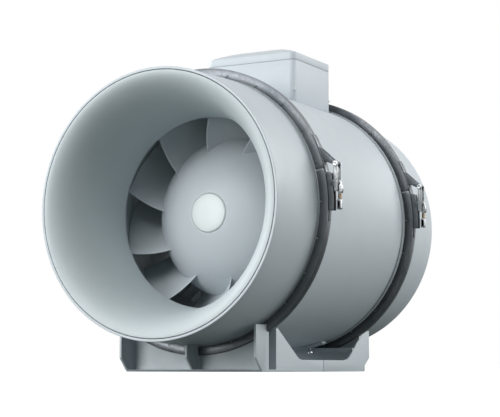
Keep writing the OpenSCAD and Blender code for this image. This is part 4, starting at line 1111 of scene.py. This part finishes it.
rear_pieces = [
    drawn_out(rear_rib, -STAND_T / 2, STAND_T),
    *[
        soften(
            block((STEP - STAND_X, low + STEP, SILL_Z), (STAND_X - STEP, low + STAND_T - STEP, top)),
            0.7 * MM,
        )
        for low, top in ((INNER_WALL, 30 * MM), (REAR_WALL - STAND_T, WALL_TOP))
    ],
    *[
        pad(angle, INNER_WALL + STAND_T - PAD_L, INNER_WALL + 2 * MM)
        for angle in (SCREW_ANGLE, -SCREW_ANGLE)
    ],
]
rear_half = stand_half(rear_outline, rear_rooms, rear_pieces)
finished(rear_half, "stand_rear_half", "stand_plastic", "housing", "stand_rear")

# %% [markdown]
# ## Terminal box
# The box stands on the casing: upright walls with wide round corners, cut to the casing's round at the
# foot, and a lid with a shallow crown. The crown is the lid's top face, extruded in small steps that get
# narrower as they rise. The lid sits on a thin foam frame and has four sunk screws.
# %% Box
BOX_LOW, BOX_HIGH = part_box("terminal_box")
BOX_CORNER = 8 * MM
BOX_WALL = 2.6 * MM
BOX_MIDDLE = (BOX_LOW + BOX_HIGH) / 2
BOX_SEAM = BOX_HIGH.z
POST_X = BOX_HIGH.x - 10 * MM
POST_Y = (BOX_HIGH.y - BOX_LOW.y) / 2 - 10 * MM
PLATE_Z = AXIS_Z + CASING_R + 1.2 * MM
PLATE_T = 2.4 * MM
POST_R = 5 * MM
POST_HOLE_R = 1.5 * MM
POST_HOLE_L = 18 * MM
GLAND_HOLE_R = 8.2 * MM
CORNER_STEPS = 10
posts = [(x, BOX_MIDDLE.y + y) for x in (-POST_X, POST_X) for y in (-POST_Y, POST_Y)]


def round_block(low, high, corner):
    """A box whose upright edges are rounded."""
    piece = block(low, high)

    def is_upright(edge):
        first, second = (piece.data.vertices[i].co for i in edge.vertices)
        return abs(first.z - second.z) > 0.5 * (high[2] - low[2])

    edit_where(piece, "EDGE", piece.data.edges, is_upright)
    bpy.ops.mesh.bevel(offset=corner, segments=CORNER_STEPS)
    bpy.ops.mesh.select_mode(type="VERT")
    bpy.ops.object.mode_set(mode="OBJECT")
    return piece


def grown(point, amount, z):
    """A corner of the box moved outwards by an amount, at height z."""
    sign = 1 if point is BOX_HIGH else -1
    return Vector((point.x + sign * amount, point.y + sign * amount, z))


fan_round = rod((0, -0.3, AXIS_Z), (0, 0.3, AXIS_Z), CASING_R + 0.1 * MM, 180)
box_shell = round_block(
    grown(BOX_LOW, 0, AXIS_Z + 120 * MM), grown(BOX_HIGH, 0, BOX_SEAM), BOX_CORNER
)
hollow = round_block(
    grown(BOX_LOW, -BOX_WALL, AXIS_Z + 119 * MM), grown(BOX_HIGH, -BOX_WALL, BOX_SEAM + MM),
    BOX_CORNER - BOX_WALL,
)
cut(box_shell, hollow)
floor_plate = block(grown(BOX_LOW, -MM, PLATE_Z), grown(BOX_HIGH, -MM, PLATE_Z + PLATE_T))
cut(box_shell, floor_plate, operation="UNION")
for x, y in posts:
    cut(box_shell, rod((x, y, PLATE_Z + MM), (x, y, BOX_SEAM), POST_R), operation="UNION")
    cut(box_shell, rod((x, y, BOX_SEAM - POST_HOLE_L), (x, y, BOX_SEAM + MM), POST_HOLE_R))
gland_y, gland_z = middle("gland_locknut").yz
gland_hole = rod((BOX_LOW.x - MM, gland_y, gland_z), (BOX_LOW.x + 4 * MM, gland_y, gland_z), GLAND_HOLE_R)
cut(box_shell, gland_hole, fan_round)
finished(soften(box_shell, 0.4 * MM, 2, 50), "terminal_box_shell", "shell_plastic", "housing", "terminal_box")

# %% Lid
LID_LOW, LID_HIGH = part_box("box_lid")
LID_SKIRT = 9 * MM
LID_RISE = LID_HIGH.z - LID_LOW.z - LID_SKIRT
LID_CROWN = 0.86
CROWN_STEPS = [0.04, 0.1, 0.18, 0.3, 0.42, 0.55, 0.68, 0.8, 0.9, 0.97, 1]
LID_HOLE_R = 4 * MM
LID_HOLE_FLOOR = 6 * MM
lid = round_block(
    (BOX_LOW.x, BOX_LOW.y, LID_LOW.z), (BOX_HIGH.x, BOX_HIGH.y, LID_LOW.z + LID_SKIRT), BOX_CORNER
)
edit_where(lid, "FACE", lid.data.polygons, lambda face: face.normal.z > 0.9)
size_now, height_now = 1, 0
for share in CROWN_STEPS:
    size = math.sqrt(1 - share * LID_CROWN)
    bpy.ops.mesh.extrude_region_move(
        TRANSFORM_OT_translate={"value": (0, 0, LID_RISE * (share - height_now))}
    )
    bpy.ops.transform.resize(
        value=(size / size_now, size / size_now, 1), center_override=(0, BOX_MIDDLE.y, 0)
    )
    size_now, height_now = size, share
bpy.ops.mesh.select_mode(type="VERT")
bpy.ops.object.mode_set(mode="OBJECT")
for x, y in posts:
    place = Vector((x, y, LID_LOW.z + LID_HOLE_FLOOR))
    cut(lid, rod(place, place + Vector((0, 0, 30 * MM)), LID_HOLE_R))
finished(soften(lid, 0.35 * MM, 2, 50), "box_lid_cover", "shell_plastic", "housing", "box_lid", smooth=38)

# %% [markdown]
# ## Parts that keep their solid's shape
# Screws, bearings, the gland, the vanes and the motor are already right in shape. The ones that show get
# a copy of the solid with its flat faces merged and its edges rounded, and the rest get their finish.
# %% Refined copies
for node, finish, width in (
    ("motor_cup", "vane_plastic", 0),
    ("guide_vanes", "vane_plastic", 0),
    ("vane_ring", "vane_plastic", 0),
    ("tail_cone", "vane_plastic", 0),
    ("bulkhead", "bell_plastic", 0.4 * MM),
    ("shroud", "bell_plastic", 0),
    ("tail_screws", "zinc_steel", 0.15 * MM),
    ("stand_screws", "zinc_steel", 0.15 * MM),
    ("lid_screws", "zinc_steel", 0.15 * MM),
    ("gland_body", "gland_plastic", 0.3 * MM),
    ("gland_cap", "gland_plastic", 0.3 * MM),
    ("gland_seal", "seal_rubber", 0.3 * MM),
    ("lid_gasket", "gasket_foam", 0),
):
    refined(node, finish, "housing", width)

# %% Finish of the solids that stay
record_slots = {row["node"]: row["material_slot"] for row in frame["record"]["subparts"]}
for node, piece in frame["nodes"].items():
    if not piece.hide_render:
        piece.data.materials.clear()
        piece.data.materials.append(FINISH[record_slots[node]])
print("solids that show:", sum(not piece.hide_render for piece in frame["nodes"].values()))

# %% [markdown]
# ## Stage and light
# The fan stands on a pale floor in front of a white surround. Two large lamps from the left and the front
# left carry most of the light. A weaker one from the front above fills the bell, one from the right shows
# the latches, and one from behind lights the top of the casing. The surround adds a little light from all
# sides. The camera sees a pale floor that keeps the shadow, but the floor throws back only as much light as
# a dark one, so the underside of the fan stays dark.
# %% Floor and surround
FLOOR_SIZE = 4.4
FLOOR_DROP = 0.4 * MM
FLOOR_SEEN = (0.8, 0.8, 0.8, 1)
FLOOR_THROWN_BACK = (0.095, 0.11, 0.105, 1)
FLOOR_LIFT = 0.75
deselect()
bpy.ops.mesh.primitive_plane_add(size=FLOOR_SIZE, location=(0, 0, -FLOOR_DROP))
floor = bpy.context.object
floor.name = "floor"
floor_paint, floor_tree, floor_shader = new_material("floor_paint")
floor_shader.inputs["Roughness"].default_value = 0.9
floor_rays = floor_tree.nodes.new("ShaderNodeLightPath")
floor_lift = maths(floor_tree, "MULTIPLY", floor_rays.outputs["Is Camera Ray"], FLOOR_LIFT)
floor_shader.inputs["Emission Color"].default_value = (1, 1, 1, 1)
floor_tree.links.new(floor_lift, floor_shader.inputs["Emission Strength"])
floor_tint = blend_colours(floor_tree, floor_rays.outputs["Is Camera Ray"], FLOOR_THROWN_BACK, FLOOR_SEEN)
floor_tree.links.new(floor_tint, floor_shader.inputs["Base Color"])
floor.data.materials.append(floor_paint)
print("floor", FLOOR_SIZE, "m wide")

world = bpy.data.worlds.new("surround")
world.use_nodes = True
scene.world = world
tree = world.node_tree
background = tree.nodes["Background"]
background.inputs["Color"].default_value = (1, 1, 1, 1)
AMBIENT = 0.13
rays = tree.nodes.new("ShaderNodeLightPath")
seen_rays = rays.outputs["Is Camera Ray"]
for label in ("Is Glossy Ray", "Is Transmission Ray"):
    seen_rays = maths(tree, "MAXIMUM", seen_rays, rays.outputs[label])
level = tree.nodes.new("ShaderNodeMapRange")
level.inputs["To Min"].default_value = AMBIENT
level.inputs["To Max"].default_value = 1
tree.links.new(seen_rays, level.inputs["Value"])
tree.links.new(level.outputs["Result"], background.inputs["Strength"])
print("surround", AMBIENT, "on the object")

# %% Lamps
LAMP_TARGET = Vector((0, -0.1, 0.2))


def area_lamp(name, place, size, watts):
    """A white area lamp that points at the middle of the fan."""
    lamp = bpy.data.objects.new(name, bpy.data.lights.new(name, "AREA"))
    scene.collection.objects.link(lamp)
    lamp.data.shape = "RECTANGLE"
    lamp.data.size, lamp.data.size_y = size
    lamp.data.energy = watts
    lamp.location = place
    lamp.rotation_mode = "QUATERNION"
    lamp.rotation_quaternion = (LAMP_TARGET - Vector(place)).to_track_quat("-Z", "Y")
    print(name, watts, "W")


for name, place, size, watts in (
    ("lamp_front_left", (-0.9, -2.2, 0.6), (1.2, 1.2), 32),
    ("lamp_front_high", (0.2, -1.6, 1.6), (1.2, 1.2), 20),
    ("lamp_left", (-2, -0.5, 0.8), (1.2, 1.2), 35),
    ("lamp_right", (2.2, 0.5, 0.6), (1.2, 1), 16),
    ("lamp_back_right", (1.6, 1.3, 1.2), (1.2, 1.2), 28),
):
    area_lamp(name, place, size, watts)
